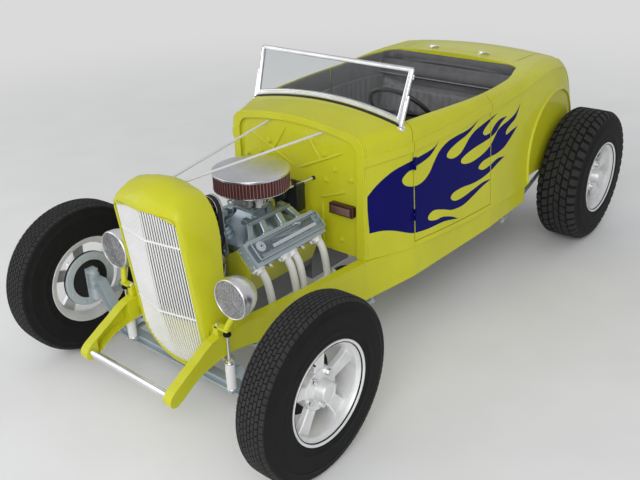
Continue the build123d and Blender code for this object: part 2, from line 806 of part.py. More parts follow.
with BuildPart() as radiator_shell:
    loft(sections=[shell_outline(row, 0) for row in shell_sections], ruled=True)
    loft(sections=[shell_outline(row, shell_wall) for row in shell_sections], ruled=True,
         mode=Mode.SUBTRACT)
    add(opening_prism(0), mode=Mode.SUBTRACT)
    with BuildPart() as apron:
        loft(sections=[shell_outline(row, shell_wall / 2) for row in shell_sections], ruled=True)
        add(block(-past_side, past_side, apron_back, apron_back + apron_thick, 0, apron_top),
            mode=Mode.INTERSECT)
    add(apron.part)
    member_front = -front_member_length / 2 - panel_gap
    member_under = front_member_bottom - panel_gap
    spring_front = -leaf_width / 2 - panel_gap
    add(block(-300, 300, member_front, 100, member_under, front_member_top + seat_gap), mode=Mode.SUBTRACT)
    add(block(-300, 300, spring_front, 100, 100, member_under + 1), mode=Mode.SUBTRACT)
save(radiator_shell, "radiator_shell")

# Grille: V-shaped rows of upright bars, with two level bars across them
bar_count = 30
bar_width = 5
bar_depth = 8
grille_lower_bar = 500
grille_upper_bar = 846
# columns: z, back of the centre line, back of the side line
prow_rows = [
    (225, -52, -50),
    (330, -84, -62),
    (509, -121, -80),
    (1000, -161, -134),
]


def prow_point(row, share):
    """Back and Z of the bars' front at one height, from the centre (0) to the side (1)."""
    z, centre, edge = row
    return (centre + (edge - centre) * share, z)


def v_bar(z, height):
    """A level bar that follows the V of the prow on both sides."""
    front_mid = between(prow_rows, z, 1)
    front_side = between(prow_rows, z, 2)
    with BuildPart() as level:
        with BuildSketch(Plane.XY.offset(z)):
            with BuildLine():
                Polyline(
                    (-opening_half, front_axle_y + front_side - 2), (0, front_axle_y + front_mid - 2),
                    (opening_half, front_axle_y + front_side - 2),
                    (opening_half, front_axle_y + front_side + bar_depth),
                    (0, front_axle_y + front_mid + bar_depth),
                    (-opening_half, front_axle_y + front_side + bar_depth), close=True)
            make_face()
        extrude(amount=height)
    return level.part


with BuildPart() as grille:
    for order in range(bar_count):
        x = (order + 0.5) * 2 * opening_half / bar_count - opening_half
        share = abs(x) / opening_half
        front = [prow_point(row, share) for row in prow_rows]
        rear = [(back + bar_depth, z) for back, z in reversed(front)]
        add(sideways(front + rear, x - bar_width / 2, x + bar_width / 2))
    add(v_bar(grille_lower_bar, 8))
    add(v_bar(grille_upper_bar, 8))
    add(v_bar(330, 6))
    add(opening_prism(seat_gap), mode=Mode.INTERSECT)
save(grille, "grille")

# Radiator rods from the shell to the firewall
wall_back = firewall_back + firewall_recess
shell_back = shell_sections[-1][0]
rod_front = (38, shell_back, 1047)
rod_rear = (168, wall_back, 1082)
with BuildPart() as radiator_rods:
    for rod in both_sides(bar(rod_front, rod_rear, 6)):
        add(rod)
    add(block(-300, 300, shell_back + seat_gap, wall_back - seat_gap, 900, 1200), mode=Mode.INTERSECT)
save(radiator_rods, "radiator_rods")

# The body's skin: outer form less the space inside, open above the cockpit
outer_form = body_form(0)
inner_space = cavity_form(0)
with BuildPart() as cockpit_cut:
    corner_back = cockpit_rear_back - 8
    bend_back = (door_rear_back + corner_back) / 2
    front_half = between(body_sections, door_front_back, 7) - opening_lip
    middle_half = between(body_sections, door_rear_back, 7) - opening_lip
    with BuildSketch(Plane.XY.offset(1000)) as opening_plan:
        with BuildLine():
            Polyline(
                (-front_half, front_axle_y + door_front_back), (front_half, front_axle_y + door_front_back),
                (middle_half, front_axle_y + door_rear_back), (middle_half - 8, front_axle_y + bend_back),
                (426, front_axle_y + corner_back), (-426, front_axle_y + corner_back),
                (-middle_half + 8, front_axle_y + bend_back), (-middle_half, front_axle_y + door_rear_back),
                close=True)
        make_face()
        rear_corners = opening_plan.vertices().filter_by(
            lambda corner: corner.Y > front_axle_y + corner_back - 1)
        fillet(rear_corners, radius=90)
    extrude(amount=300)

with BuildPart() as body_skin:
    add(outer_form)
    add(inner_space, mode=Mode.SUBTRACT)
    add(cockpit_cut.part, mode=Mode.SUBTRACT)
skin = body_skin.part

# Door hinges: two barrels a door, the lower half of each on the cowl and the upper half on the door
hinge_radius = 7
hinge_proud = 8.5
hinge_half_length = 30
hinge_split = 0.5
hinge_leaf = 24
hinge_heights = [660, 920]
hinge_back = door_front_back + panel_gap / 2
hinge_lean = (body_sections[1][1] - body_sections[1][2]) / (body_sections[1][3] - body_bottom)


def hinge_x(z):
    """X of the left door's hinge line, which follows the leaning side of the body."""
    return body_sections[1][1] + hinge_proud - hinge_lean * (z - body_bottom)


def hinge_half(z, way):
    """Half a hinge with its leaf, above (1) or below (-1) its middle, on the left side."""
    z_near = z + way * hinge_split / 2
    z_far = z_near + way * hinge_half_length
    low = min(z_near, z_far)
    high = max(z_near, z_far)
    leaf = [hinge_back, hinge_back + way * hinge_leaf]
    inner = hinge_x(z) - hinge_proud - 6
    with BuildPart() as half:
        add(bar((hinge_x(z_near), hinge_back, z_near), (hinge_x(z_far), hinge_back, z_far), hinge_radius))
        add(block(inner, hinge_x(z) - 1, min(leaf), max(leaf), low + 1, high - 1))
    return half.part


# Cowl with its firewall, whose ribs and dimples are embossed, and its dash
dash_back = 1036
dash_bottom = 962
rib_radius = 7
dimple_proud = 5
bead_proud = 5
bead_width = 16
# columns: X, back and Z of each end of a rib on the left half
rib_rows = [
    ((17, wall_back, 879), (286, wall_back, 1004)),
    ((62, wall_back, 1072), (145, wall_back, 946)),
    ((141, wall_back, 753), (297, wall_back, 813)),
    ((155, wall_back, 520), (155, wall_back, 730)),
    ((60, wall_back, 520), (60, wall_back, 690)),
]
# columns: X, Z and radius of a dimple on the left half
dimple_rows = [(176, 976, 16), (235, 912, 16), (180, 851, 16), (330, 880, 16), (270, 560, 16)]
with BuildPart() as cowl_plates:
    add(block(-past_side, past_side, wall_back, wall_back + sheet, body_bottom, past_top))
    for start, end in rib_rows:
        for piece in both_sides(bar(start, end, rib_radius)):
            add(piece)
    for x, z, radius in dimple_rows:
        for piece in both_sides(bar((x, wall_back - dimple_proud, z), (x, wall_back + 1, z), radius)):
            add(piece)
    add(block(-past_side, past_side, dash_back, dash_back + sheet, dash_bottom, past_top))
    add(inner_space, mode=Mode.INTERSECT)

with BuildPart() as cowl_bead:
    add(body_form(bead_proud))
    add(inner_space, mode=Mode.SUBTRACT)
    add(block(-past_side, past_side, firewall_back + 12, firewall_back + 12 + bead_width, body_bottom,
              past_top), mode=Mode.INTERSECT)
    add(skin)
    add(block(-past_side, past_side, firewall_back - 5, door_front_back, past_floor, past_top),
        mode=Mode.INTERSECT)

with BuildPart() as cowl:
    add(cowl_bead.part)
    add(cowl_plates.part)
    for z in hinge_heights:
        for piece in both_sides(hinge_half(z, -1)):
            add(piece)
save(cowl, "cowl")

# Ignition box on the firewall
with BuildPart() as ignition_box:
    add(block(218, 360, wall_back - 38, wall_back - seat_gap, 700, 757))
save(ignition_box, "ignition_box")

# Floor: a flat pan with sills under the doors, stepping up to the boot floor behind the seat
step_back = cockpit_rear_back
boot_floor = 580
pan = [
    (wall_back + sheet + seat_gap, body_bottom), (step_back, body_bottom), (step_back, boot_floor - sheet),
    (cavity_end_back - seat_gap, boot_floor - sheet), (cavity_end_back - seat_gap, boot_floor),
    (step_back - sheet, boot_floor), (step_back - sheet, body_bottom + sheet),
    (wall_back + sheet + seat_gap, body_bottom + sheet),
]
board_half = 330
board_height = 6
board_inset = 90
sill_top = body_bottom + sill_height
sill_lap = 14
with BuildPart() as sills:
    add(outer_form)
    front_reach = between(body_sections, door_front_back, 7) - sill_lap
    rear_reach = between(body_sections, door_rear_back, 7) - sill_lap
    with BuildSketch(Plane.XY.offset(body_bottom - sheet)):
        with BuildLine():
            Polyline(
                (-front_reach, front_axle_y + door_front_back), (front_reach, front_axle_y + door_front_back),
                (rear_reach, front_axle_y + door_rear_back), (-rear_reach, front_axle_y + door_rear_back),
                close=True)
        make_face()
    extrude(amount=100, mode=Mode.SUBTRACT)
    add(block(-past_side, past_side, door_front_back + seat_gap, door_rear_back - seat_gap,
              body_bottom, sill_top), mode=Mode.INTERSECT)

with BuildPart() as floor:
    add(sideways(pan, -past_side, past_side))
    add(cavity_form(seat_gap), mode=Mode.INTERSECT)
    add(sills.part)
    add(block(-board_half, board_half, step_back + board_inset, cavity_end_back - board_inset,
              boot_floor - 1, boot_floor + board_height))
save(floor, "floor")

# Doors
with BuildPart() as door_left:
    add(skin)
    add(block(200, past_side, door_front_back + panel_gap, door_rear_back - panel_gap,
              sill_top + panel_gap, past_top), mode=Mode.INTERSECT)
    for z in hinge_heights:
        add(hinge_half(z, 1))
save(door_left, "door_left")

with BuildPart() as door_right:
    mirror(door_left.part, about=Plane.YZ)
save(door_right, "door_right")

# Rear body: quarters, wheel houses with their arch lips, boot opening and the panel behind the seat
arch_back = wheelbase - 212
arch_z = 590
arch_radius = 368
arch_lip = 17
arch_proud = 8
house_x = rear_wheel_out - rear_tyre_width - 22
tyre_room = 25
lid_half = 385
lid_low = 640
lid_hinge_back = lid_front_back + panel_gap / 2
lid_hinge_z = 1170
lid_hinges = [-170, 170]


def lid_hinge(x, way):
    """Half a deck lid hinge with its leaf, on the lid (1) or on the body (-1)."""
    near = x + way * hinge_split / 2
    far = near + way * hinge_half_length
    leaf = [lid_hinge_back, lid_hinge_back + way * hinge_leaf]
    with BuildPart() as half:
        add(bar((near, lid_hinge_back, lid_hinge_z), (far, lid_hinge_back, lid_hinge_z), hinge_radius))
        add(block(min(near, far), max(near, far), min(leaf), max(leaf), lid_hinge_z - 26, lid_hinge_z - 2))
    return half.part


with BuildPart() as arch_space:
    for side in (-1, 1):
        add(disc(side * house_x, side * past_side, arch_back, arch_z, arch_radius))
        add(disc(side * house_x, side * past_side, wheelbase, rear_tyre_radius, rear_tyre_radius + tyre_room))

with BuildPart() as arch_lips:
    for side in (-1, 1):
        add(disc(side * (house_x - 20), side * past_side, arch_back, arch_z, arch_radius + arch_lip))
    for side in (-1, 1):
        add(disc(side * (house_x - 20), side * past_side, arch_back, arch_z, arch_radius),
            mode=Mode.SUBTRACT)
    add(body_form(arch_proud), mode=Mode.INTERSECT)

with BuildPart() as seat_panel:
    add(inner_space)
    add(block(-past_side, past_side, step_back + seat_gap, step_back + seat_gap + sheet,
              boot_floor + seat_gap, past_top), mode=Mode.INTERSECT)

with BuildPart() as rear_body:
    add(skin)
    add(block(-past_side, past_side, door_rear_back, tail_back + 50, past_floor, past_top),
        mode=Mode.INTERSECT)
    add(seat_panel.part)
    add(arch_lips.part)
    add(arch_space.part, mode=Mode.SUBTRACT)
    add(block(-lid_half, lid_half, lid_front_back, tail_back + 50, lid_low, past_top),
        mode=Mode.SUBTRACT)
    for x in lid_hinges:
        add(lid_hinge(x, -1))
save(rear_body, "rear_body")

with BuildPart() as decklid:
    add(skin)
    add(block(-lid_half + panel_gap, lid_half - panel_gap, lid_front_back + panel_gap, tail_back + 50,
              lid_low + panel_gap, past_top), mode=Mode.INTERSECT)
    for x in lid_hinges:
        add(lid_hinge(x, 1))
save(decklid, "decklid")

# Windscreen: a leaning frame that seats on the cowl, and its glass
screen_back = 1005
screen_low_z = 1098
screen_rise = 263
screen_lean = 90
screen_low_half = 454
screen_high_half = 468
screen_curve = 58
screen_bar = 20
screen_thick = 20
glass_thick = 6
screen_height = sqrt(screen_rise ** 2 + screen_lean ** 2)
screen_up = Vector(0, screen_lean, screen_rise).normalized()
screen_plane = Plane(origin=(0, front_axle_y + screen_back, screen_low_z), x_dir=(1, 0, 0),
                     z_dir=Vector(1, 0, 0).cross(screen_up))


def screen_outline(inset, foot):
    """The windscreen's outline, pulled inwards, with its lower edge arched over the cowl."""
    low = screen_low_half - inset
    high = screen_high_half - inset
    with BuildSketch(screen_plane) as outline_face:
        with BuildLine():
            ThreePointArc((-low, foot), (0, foot + screen_curve), (low, foot))
            Polyline(
                (low, foot), (high, screen_height - inset), (-high, screen_height - inset), (-low, foot))
        make_face()
    return outline_face.sketch


with BuildPart() as windscreen_frame:
    extrude(screen_outline(0, -14), amount=screen_thick / 2, both=True)
    extrude(screen_outline(screen_bar, screen_bar + 4), amount=screen_thick, both=True, mode=Mode.SUBTRACT)
    for side in (-1, 1):
        foot = Vector(side * (screen_low_half + 4), front_axle_y + screen_back, screen_low_z + 8)
        with Locations(foot):
            Sphere(17)
        add(bar((side * (screen_low_half + 4), screen_back - 4, screen_low_z - 40),
                (side * (screen_low_half + 4), screen_back + 30, screen_low_z + 90), 11))
    add(body_form(seat_gap), mode=Mode.SUBTRACT)
save(windscreen_frame, "windscreen_frame")

with BuildPart() as windscreen_glass:
    extrude(screen_outline(screen_bar + seat_gap, screen_bar + 4 + seat_gap), amount=glass_thick / 2,
            both=True)
save(windscreen_glass, "windscreen_glass")

# Steering column and wheel in front of the left seat
wheel_x = 250
wheel_back = 1330
wheel_z = 1062
wheel_radius = 190
wheel_rim = 13
column_foot_back = 812
column_foot_z = 640
column_radius = 20
hub_radius = 30
hub_length = 34
column_run = Vector(0, wheel_back - column_foot_back, wheel_z - column_foot_z)
column_up = column_run.normalized()
hub_centre = Vector(wheel_x, front_axle_y + wheel_back, wheel_z)
with BuildPart() as steering_column:
    column_start = hub_centre - column_up * column_run.length
    with BuildSketch(Plane(origin=column_start, z_dir=column_up)):
        Circle(column_radius)
    extrude(amount=column_run.length - 2 * hub_length)
    hang_back = dash_back + sheet / 2
    hang_z = wheel_z - (wheel_back - hang_back) * column_up.Z / column_up.Y
    add(block(wheel_x - 14, wheel_x + 14, dash_back, dash_back + sheet, hang_z, dash_bottom - seat_gap))
    add(block(-past_side, past_side, wall_back + sheet + seat_gap, wheel_back, past_floor, past_top),
        mode=Mode.INTERSECT)
save(steering_column, "steering_column")

with BuildPart() as steering_wheel:
    rim_plane = Plane(origin=hub_centre, x_dir=(1, 0, 0), z_dir=column_up)
    with BuildSketch(Plane(origin=hub_centre + Vector(wheel_radius - wheel_rim, 0, 0), x_dir=(1, 0, 0),
                           z_dir=Vector(1, 0, 0).cross(column_up))):
        Circle(wheel_rim)
    revolve(axis=Axis(hub_centre, column_up))
    with BuildSketch(Plane(origin=hub_centre - column_up * (2 * hub_length - 1), z_dir=column_up)):
        Circle(hub_radius)
    extrude(amount=2 * hub_length)
    with BuildSketch(rim_plane):
        for angle in (0, 90, 180):
            with PolarLocations((wheel_radius - wheel_rim) / 2, 1, start_angle=angle):
                Rectangle(wheel_radius - wheel_rim, 22)
    extrude(amount=3, both=True)
save(steering_wheel, "steering_wheel")

# Bench seat: a cushion and a leaning back
cushion_front = cockpit_rear_back - 662
cushion_rear = cockpit_rear_back - 192
cushion_top = 770
cushion_half = 455
back_top = 1096
seat_foot = body_bottom + sheet + seat_gap
seat_rear = step_back - sheet - seat_gap
with BuildPart() as seat_cushion:
    add(sideways([(cushion_front, seat_foot), (cushion_rear, seat_foot), (cushion_rear, cushion_top - 30),
                  (cushion_front + 30, cushion_top), (cushion_front, cushion_top - 30)],
                 -cushion_half, cushion_half))
save(seat_cushion, "seat_cushion")

with BuildPart() as seat_back:
    add(sideways([(cushion_rear + seat_gap, seat_foot), (seat_rear, seat_foot), (seat_rear, back_top - 60),
                  (seat_rear - 40, back_top), (seat_rear - 100, back_top - 12),
                  (cushion_rear + seat_gap, cushion_top + 10)], -cushion_half, cushion_half))
save(seat_back, "seat_back")

# Tail lamps
tail_lamp_x = 432
tail_lamp_z = 600
tail_lamp_radius = 34
tail_lamp_end = tail_back + 30
with BuildPart() as tail_lamps:
    for lamp in both_sides(bar((tail_lamp_x, tail_back + seat_gap, tail_lamp_z),
                               (tail_lamp_x, tail_lamp_end, tail_lamp_z), tail_lamp_radius)):
        add(lamp)
save(tail_lamps, "tail_lamps")

# Knuckles: two ears on the kingpin, spindle, backing plate and steering arm
ear_gap = 0.5
ear_height = 22
ear_radius = 24
plate_radius = 138
plate_inside = kingpin_x + 37
plate_depth = 12
arm_length = 140
arm_inset = 14
arm_top = 300
arm_thick = 14
front_stub_end = front_wheel_out - front_dish - spoke_depth - 2
hub_bore = stub_radius + bore_gap
with BuildPart() as knuckle_left:
    low_face = axle_z - boss_height / 2 - ear_gap
    high_face = axle_z + boss_height / 2 + ear_gap
    ear_bottom = arm_top - arm_thick
    ear_top = high_face + ear_height
    add(upright(kingpin_x, 0, ear_bottom, low_face, ear_radius))
    add(upright(kingpin_x, 0, high_face, ear_top, ear_radius))
    add(upright(kingpin_x, 0, ear_bottom, ear_top, kingpin_radius))
    web_x = kingpin_x + boss_radius + 2
    add(block(web_x, plate_inside + 2, -ear_radius, ear_radius, ear_bottom, ear_top))
    add(block(kingpin_x, plate_inside, -ear_radius, ear_radius, ear_bottom, low_face))
    add(block(kingpin_x, plate_inside, -ear_radius, ear_radius, high_face, ear_top))
    add(disc(plate_inside, plate_inside + plate_depth, 0, axle_z, plate_radius))
    add(disc(plate_inside, front_stub_end, 0, axle_z, stub_radius))
    arm_outline = [(kingpin_x - 18, 0), (kingpin_x + 18, 0), (kingpin_x - arm_inset + 16, arm_length + 12),
                   (kingpin_x - arm_inset - 16, arm_length + 12)]
    with BuildSketch(Plane.XY.offset(arm_top - arm_thick)):
        with BuildLine():
            Polyline(*[(x, front_axle_y + back) for x, back in arm_outline], close=True)
        make_face()
    extrude(amount=arm_thick)
save(knuckle_left, "knuckle_left")

with BuildPart() as knuckle_right:
    mirror(knuckle_left.part, about=Plane.YZ)
save(knuckle_right, "knuckle_right")

# Tie rod, whose flat ends ride on the steering arms
tie_radius = 10
tie_eye_height = 24
tie_eye_radius = 16
tie_end = kingpin_x - arm_inset
tie_eye_bottom = arm_top + seat_gap
tie_z = tie_eye_bottom + tie_eye_height / 2
with BuildPart() as tie_rod:
    add(bar((-tie_end, arm_length, tie_z), (tie_end, arm_length, tie_z), tie_radius))
    for side in (-1, 1):
        add(upright(side * tie_end, arm_length, tie_eye_bottom, tie_eye_bottom + tie_eye_height,
                    tie_eye_radius))
save(tie_rod, "tie_rod")

# Wheels and tyres. A wheel's rows are distances inwards from its outer plane.
cap_reach = 6
hub_cap_radius = 43
nut_radius = 14
nut_height = 20
front_hub_reach = front_wheel_out - (plate_inside + plate_depth + 20)
# columns: name, back, wheel centre height, outer plane, width, depth of the spokes, reach of the hub
wheel_rows = [
    ("front", 0, front_tyre_radius, front_wheel_out, front_tyre_width, front_dish,
     front_hub_reach),
    ("rear", wheelbase, rear_tyre_radius, rear_wheel_out, rear_tyre_width, 60, 200),
]


def around(back, z, outline):
    """Revolve an outline of X and radius around a wheel's axle."""
    centre_y = front_axle_y + back
    with BuildPart() as ring:
        with BuildSketch(Plane(origin=(0, centre_y, z), x_dir=(1, 0, 0), z_dir=(0, -1, 0))):
            with BuildLine():
                Polyline(*outline, close=True)
            make_face()
        revolve(axis=Axis((0, centre_y, z), (1, 0, 0)))
    return ring.part


for name, back, z, out, width, dish, hub_reach in wheel_rows:
    tyre_radius = z
    inside = out - width
    with BuildPart() as wheel:
        add(around(back, z, [
            (out, rim_radius), (out - rim_lip, rim_radius), (out - rim_lip, rim_seat),
            (inside + rim_lip, rim_seat), (inside + rim_lip, rim_radius), (inside, rim_radius),
            (inside, rim_seat - rim_wall), (out, rim_seat - rim_wall)]))
        add(disc(out - hub_reach, out - dish + 4, back, z, stud_circle + nut_radius + 6))
        with BuildSketch(Plane.YZ.offset(out - dish)):
            with Locations((front_axle_y + back, z)):
                with PolarLocations(0, spokes, start_angle=90):
                    Polygon((40, -31), (rim_seat - 6, -37), (rim_seat - 6, 37), (40, 31), align=None)
        extrude(amount=-spoke_depth)
        add(around(back, z, [
            (out - dish, 0), (out - dish, hub_cap_radius), (out - cap_reach - 6, hub_cap_radius - 3),
            (out - cap_reach, hub_cap_radius - 9), (out - cap_reach, 0)]))
        for turn in range(spokes):
            angle = radians(360 / spokes * (turn + 0.5) + 90)
            add(disc(out - dish, out - dish + nut_height, back + stud_circle * cos(angle),
                     z + stud_circle * sin(angle), nut_radius))
        add(disc(out - hub_reach - 1, out - dish - spoke_depth, back, z, hub_bore), mode=Mode.SUBTRACT)
    save(wheel, name + "_wheel_left")
    with BuildPart() as mirrored_wheel:
        mirror(wheel.part, about=Plane.YZ)
    save(mirrored_wheel, name + "_wheel_right")

    bead = rim_seat + seat_gap
    lip = rim_lip + seat_gap
    bulge = (bead + tyre_radius) / 2
    with BuildPart() as tyre:
        with BuildSketch(Plane(origin=(0, front_axle_y + back, z), x_dir=(1, 0, 0), z_dir=(0, -1, 0))):
            with BuildLine():
                Line((out - lip, bead), (inside + lip, bead))
                Line((inside + lip, bead), (inside + lip, rim_radius + 4))
                ThreePointArc((inside + lip, rim_radius + 4), (inside, bulge), (inside + 16, tyre_radius - 12))
                Line((inside + 16, tyre_radius - 12), (inside + 34, tyre_radius))
                Line((inside + 34, tyre_radius), (out - 34, tyre_radius))
                Line((out - 34, tyre_radius), (out - 16, tyre_radius - 12))
                ThreePointArc((out - 16, tyre_radius - 12), (out, bulge), (out - lip, rim_radius + 4))
                Line((out - lip, rim_radius + 4), (out - lip, bead))
            make_face()
        revolve(axis=Axis((0, front_axle_y + back, z), (1, 0, 0)))
    save(tyre, name + "_tyre_left")
    with BuildPart() as mirrored_tyre:
        mirror(tyre.part, about=Plane.YZ)
    save(mirrored_tyre, name + "_tyre_right")
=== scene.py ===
"""The looks of an early-thirties hot rod roadster, in metres."""

import json
import math

import bmesh
import bpy
from mathutils import Matrix, Vector


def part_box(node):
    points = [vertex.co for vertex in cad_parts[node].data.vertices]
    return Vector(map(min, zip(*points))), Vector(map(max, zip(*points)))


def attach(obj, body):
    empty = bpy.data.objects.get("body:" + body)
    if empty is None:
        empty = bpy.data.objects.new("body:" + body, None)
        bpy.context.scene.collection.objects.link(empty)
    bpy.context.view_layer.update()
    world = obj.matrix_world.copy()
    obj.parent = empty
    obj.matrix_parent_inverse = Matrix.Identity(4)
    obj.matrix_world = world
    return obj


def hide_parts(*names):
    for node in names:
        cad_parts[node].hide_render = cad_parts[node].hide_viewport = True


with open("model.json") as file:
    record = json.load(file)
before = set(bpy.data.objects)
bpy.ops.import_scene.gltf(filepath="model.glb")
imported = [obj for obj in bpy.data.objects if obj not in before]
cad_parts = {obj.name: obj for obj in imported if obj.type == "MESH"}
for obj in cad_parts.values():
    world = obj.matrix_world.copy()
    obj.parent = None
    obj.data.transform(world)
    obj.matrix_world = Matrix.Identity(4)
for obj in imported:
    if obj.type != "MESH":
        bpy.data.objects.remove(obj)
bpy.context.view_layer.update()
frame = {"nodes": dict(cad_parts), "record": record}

# Places shared with the model: a distance called back is measured from the front axle
front_low, front_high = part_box("front_tyre_left")
rear_low, rear_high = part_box("rear_tyre_left")
AXLE_Y = (front_low.y + front_high.y) / 2
WHEELBASE = (rear_low.y + rear_high.y) / 2 - AXLE_Y
FRONT_RADIUS = (front_high.z - front_low.z) / 2
REAR_RADIUS = (rear_high.z - rear_low.z) / 2
SIDES = (("left", 1), ("right", -1))


def at(x, back, z):
    """A point from its X, its distance behind the front axle and its height."""
    return Vector((x, AXLE_Y + back, z))


# Camera, fitted to the photograph
CAMERA_AT = at(2.3629, -1.84628, 2.20144)
CAMERA_TURN = 40.17
CAMERA_RISE = 25.96
CAMERA_ROLL = -1.74
CAMERA_LENS = 43.53
SENSOR = 36


def make_camera():
    """The camera, standing where the photograph was taken from."""
    turn = math.radians(CAMERA_TURN)
    rise = math.radians(CAMERA_RISE)
    roll = math.radians(CAMERA_ROLL)
    behind = Vector((math.sin(turn) * math.cos(rise), -math.cos(turn) * math.cos(rise), math.sin(rise)))
    level = (-behind).cross(Vector((0, 0, 1))).normalized()
    upward = level.cross(-behind)
    right = level * math.cos(roll) + upward * math.sin(roll)
    above = -level * math.sin(roll) + upward * math.cos(roll)
    data = bpy.data.cameras.new("camera")
    data.lens = CAMERA_LENS
    data.sensor_width = SENSOR
    camera = bpy.data.objects.new("camera", data)
    turned = Matrix((right, above, behind)).transposed()
    camera.matrix_world = Matrix.Translation(CAMERA_AT) @ turned.to_4x4()
    bpy.context.scene.collection.objects.link(camera)
    bpy.context.scene.camera = camera


make_camera()


# Materials
class Finish:
    """A procedural material under construction: a Principled shader and the nodes that feed it."""

    def __init__(self, name, colour, roughness, metallic=0.0):
        self.material = bpy.data.materials.new(name)
        self.material.use_nodes = True
        self.tree = self.material.node_tree
        self.shader = self.tree.nodes["Principled BSDF"]
        self.colour = (*colour, 1)
        self.set("Base Color", self.colour)
        self.set("Roughness", roughness)
        self.set("Metallic", metallic)
        self.coords = self.tree.nodes.new("ShaderNodeTexCoord")
        self.height = None

    def set(self, socket, value):
        self.shader.inputs[socket].default_value = value

    def noise(self, scale, detail=4.0, stretch=(1, 1, 1)):
        """A noise over the object's own coordinates, as a node."""
        place = self.tree.nodes.new("ShaderNodeMapping")
        place.inputs["Scale"].default_value = stretch
        self.tree.links.new(self.coords.outputs["Object"], place.inputs["Vector"])
        node = self.tree.nodes.new("ShaderNodeTexNoise")
        node.inputs["Scale"].default_value = scale
        node.inputs["Detail"].default_value = detail
        self.tree.links.new(place.outputs["Vector"], node.inputs["Vector"])
        return node.outputs["Fac"]

    def ramp(self, value, low, high, low_at=0.35, high_at=0.65):
        """A colour ramp between two colours."""
        node = self.tree.nodes.new("ShaderNodeValToRGB")
        node.color_ramp.elements[0].position = low_at
        node.color_ramp.elements[0].color = (*low, 1)
        node.color_ramp.elements[1].position = high_at
        node.color_ramp.elements[1].color = (*high, 1)
        self.tree.links.new(value, node.inputs["Fac"])
        return node.outputs["Color"]

    def colour_from(self, socket):
        self.tree.links.new(socket, self.shader.inputs["Base Color"])

    def mottle(self, scale, share, stretch=(1, 1, 1)):
        """Let the base colour drift a little, darker and lighter."""
        low = [c * (1 - share) for c in self.colour[:3]]
        high = [min(1.0, c * (1 + share)) for c in self.colour[:3]]
        self.colour_from(self.ramp(self.noise(scale, 5, stretch), low, high))

    def vary_roughness(self, scale, low, high):
        node = self.tree.nodes.new("ShaderNodeMapRange")
        node.inputs["To Min"].default_value = low
        node.inputs["To Max"].default_value = high
        self.tree.links.new(self.noise(scale), node.inputs["Value"])
        self.tree.links.new(node.outputs["Result"], self.shader.inputs["Roughness"])

    def bump(self, value, strength, distance):
        """Add a bump on top of what the surface has."""
        node = self.tree.nodes.new("ShaderNodeBump")
        node.inputs["Strength"].default_value = strength
        node.inputs["Distance"].default_value = distance
        self.tree.links.new(value, node.inputs["Height"])
        if self.height is not None:
            self.tree.links.new(self.height, node.inputs["Normal"])
        self.height = node.outputs["Normal"]
        self.tree.links.new(self.height, self.shader.inputs["Normal"])

    def soften(self, radius):
        """Round the look of sharp edges."""
        node = self.tree.nodes.new("ShaderNodeBevel")
        node.samples = 4
        node.inputs["Radius"].default_value = radius
        self.height = node.outputs["Normal"]
        self.tree.links.new(self.height, self.shader.inputs["Normal"])


def painted(name, colour, roughness, coat, soften=0.002, shine=0.5):
    """Paint under a thin clear coat, a little uneven."""
    finish = Finish(name, colour, roughness)
    finish.set("Specular IOR Level", shine)
    if soften:
        finish.soften(soften)
    finish.set("Coat Weight", coat)
    finish.set("Coat Roughness", 0.06)
    finish.mottle(3, 0.05)
    finish.bump(finish.noise(900, 2), 0.06, 0.0005)
    return finish.material


def metal(name, colour, roughness, soften=0.002, brushed=0.0, metallic=1.0):
    """Bare or plated metal, a little uneven, and brushed where it is said so."""
    finish = Finish(name, colour, roughness, metallic)
    if soften:
        finish.soften(soften)
    finish.mottle(9, 0.08)
    finish.vary_roughness(14, roughness * 0.75, min(1.0, roughness * 1.35))
    if brushed:
        finish.bump(finish.noise(260, 3, (1, 1, 14)), brushed, 0.0006)
    return finish.material


def plain_stuff(name, colour, roughness, grain, strength, soften=0.002, shine=0.5):
    """Rubber, leather, plastic or cast iron with a fine grain."""
    finish = Finish(name, colour, roughness)
    finish.set("Specular IOR Level", shine)
    if soften:
        finish.soften(soften)
    finish.mottle(20, 0.12)
    finish.bump(finish.noise(grain, 4), strength, 0.001)
    return finish.material


YELLOW = painted("yellow_paint", (0.60, 0.60, 0.018), 0.42, 0.22, shine=0.3)
AXLE_BLUE = painted("axle_paint", (0.36, 0.42, 0.46), 0.45, 0.1)
HEAD_BLUE = painted("head_paint", (0.42, 0.49, 0.53), 0.5, 0.1)
COVER_BLUE = painted("cover_paint", (0.13, 0.19, 0.24), 0.3, 0.6)
MANIFOLD = metal("cast_aluminium", (0.45, 0.52, 0.57), 0.45, brushed=0.1)
CHROME = metal("chrome", (0.80, 0.80, 0.82), 0.16)
WHITE_COAT = painted("white_coating", (0.83, 0.83, 0.83), 0.4, 0.2)
STEEL = metal("steel", (0.42, 0.43, 0.45), 0.35, brushed=0.1)
CAST = plain_stuff("cast_iron", (0.09, 0.095, 0.10), 0.55, 500, 0.3)
BLACK = plain_stuff("black_plastic", (0.015, 0.015, 0.016), 0.35, 700, 0.08)
# Rubber darkened to near black: partly its own colour, partly painted shade for tyre walls that face away
# from the light.
RUBBER_WITH_PAINTED_SHADE = plain_stuff("rubber", (0.008, 0.008, 0.0085), 0.7, 420, 0.2, 0.001, 0.2)
ALLOY = metal("wheel_alloy", (0.84, 0.84, 0.84), 0.40, metallic=0.55)
CORE_BLACK = plain_stuff("core_black", (0.006, 0.006, 0.006), 0.85, 300, 0.4, 0, 0.1)
LEATHER = plain_stuff("grey_leather", (0.10, 0.10, 0.105), 0.55, 500, 0.35)
MAROON = plain_stuff("filter_paper", (0.10, 0.022, 0.02), 0.7, 600, 0.2, 0)
RED = painted("red_enamel", (0.36, 0.02, 0.015), 0.25, 0.8)
PALE = painted("pale_marks", (0.62, 0.62, 0.60), 0.4, 0.2, 0)


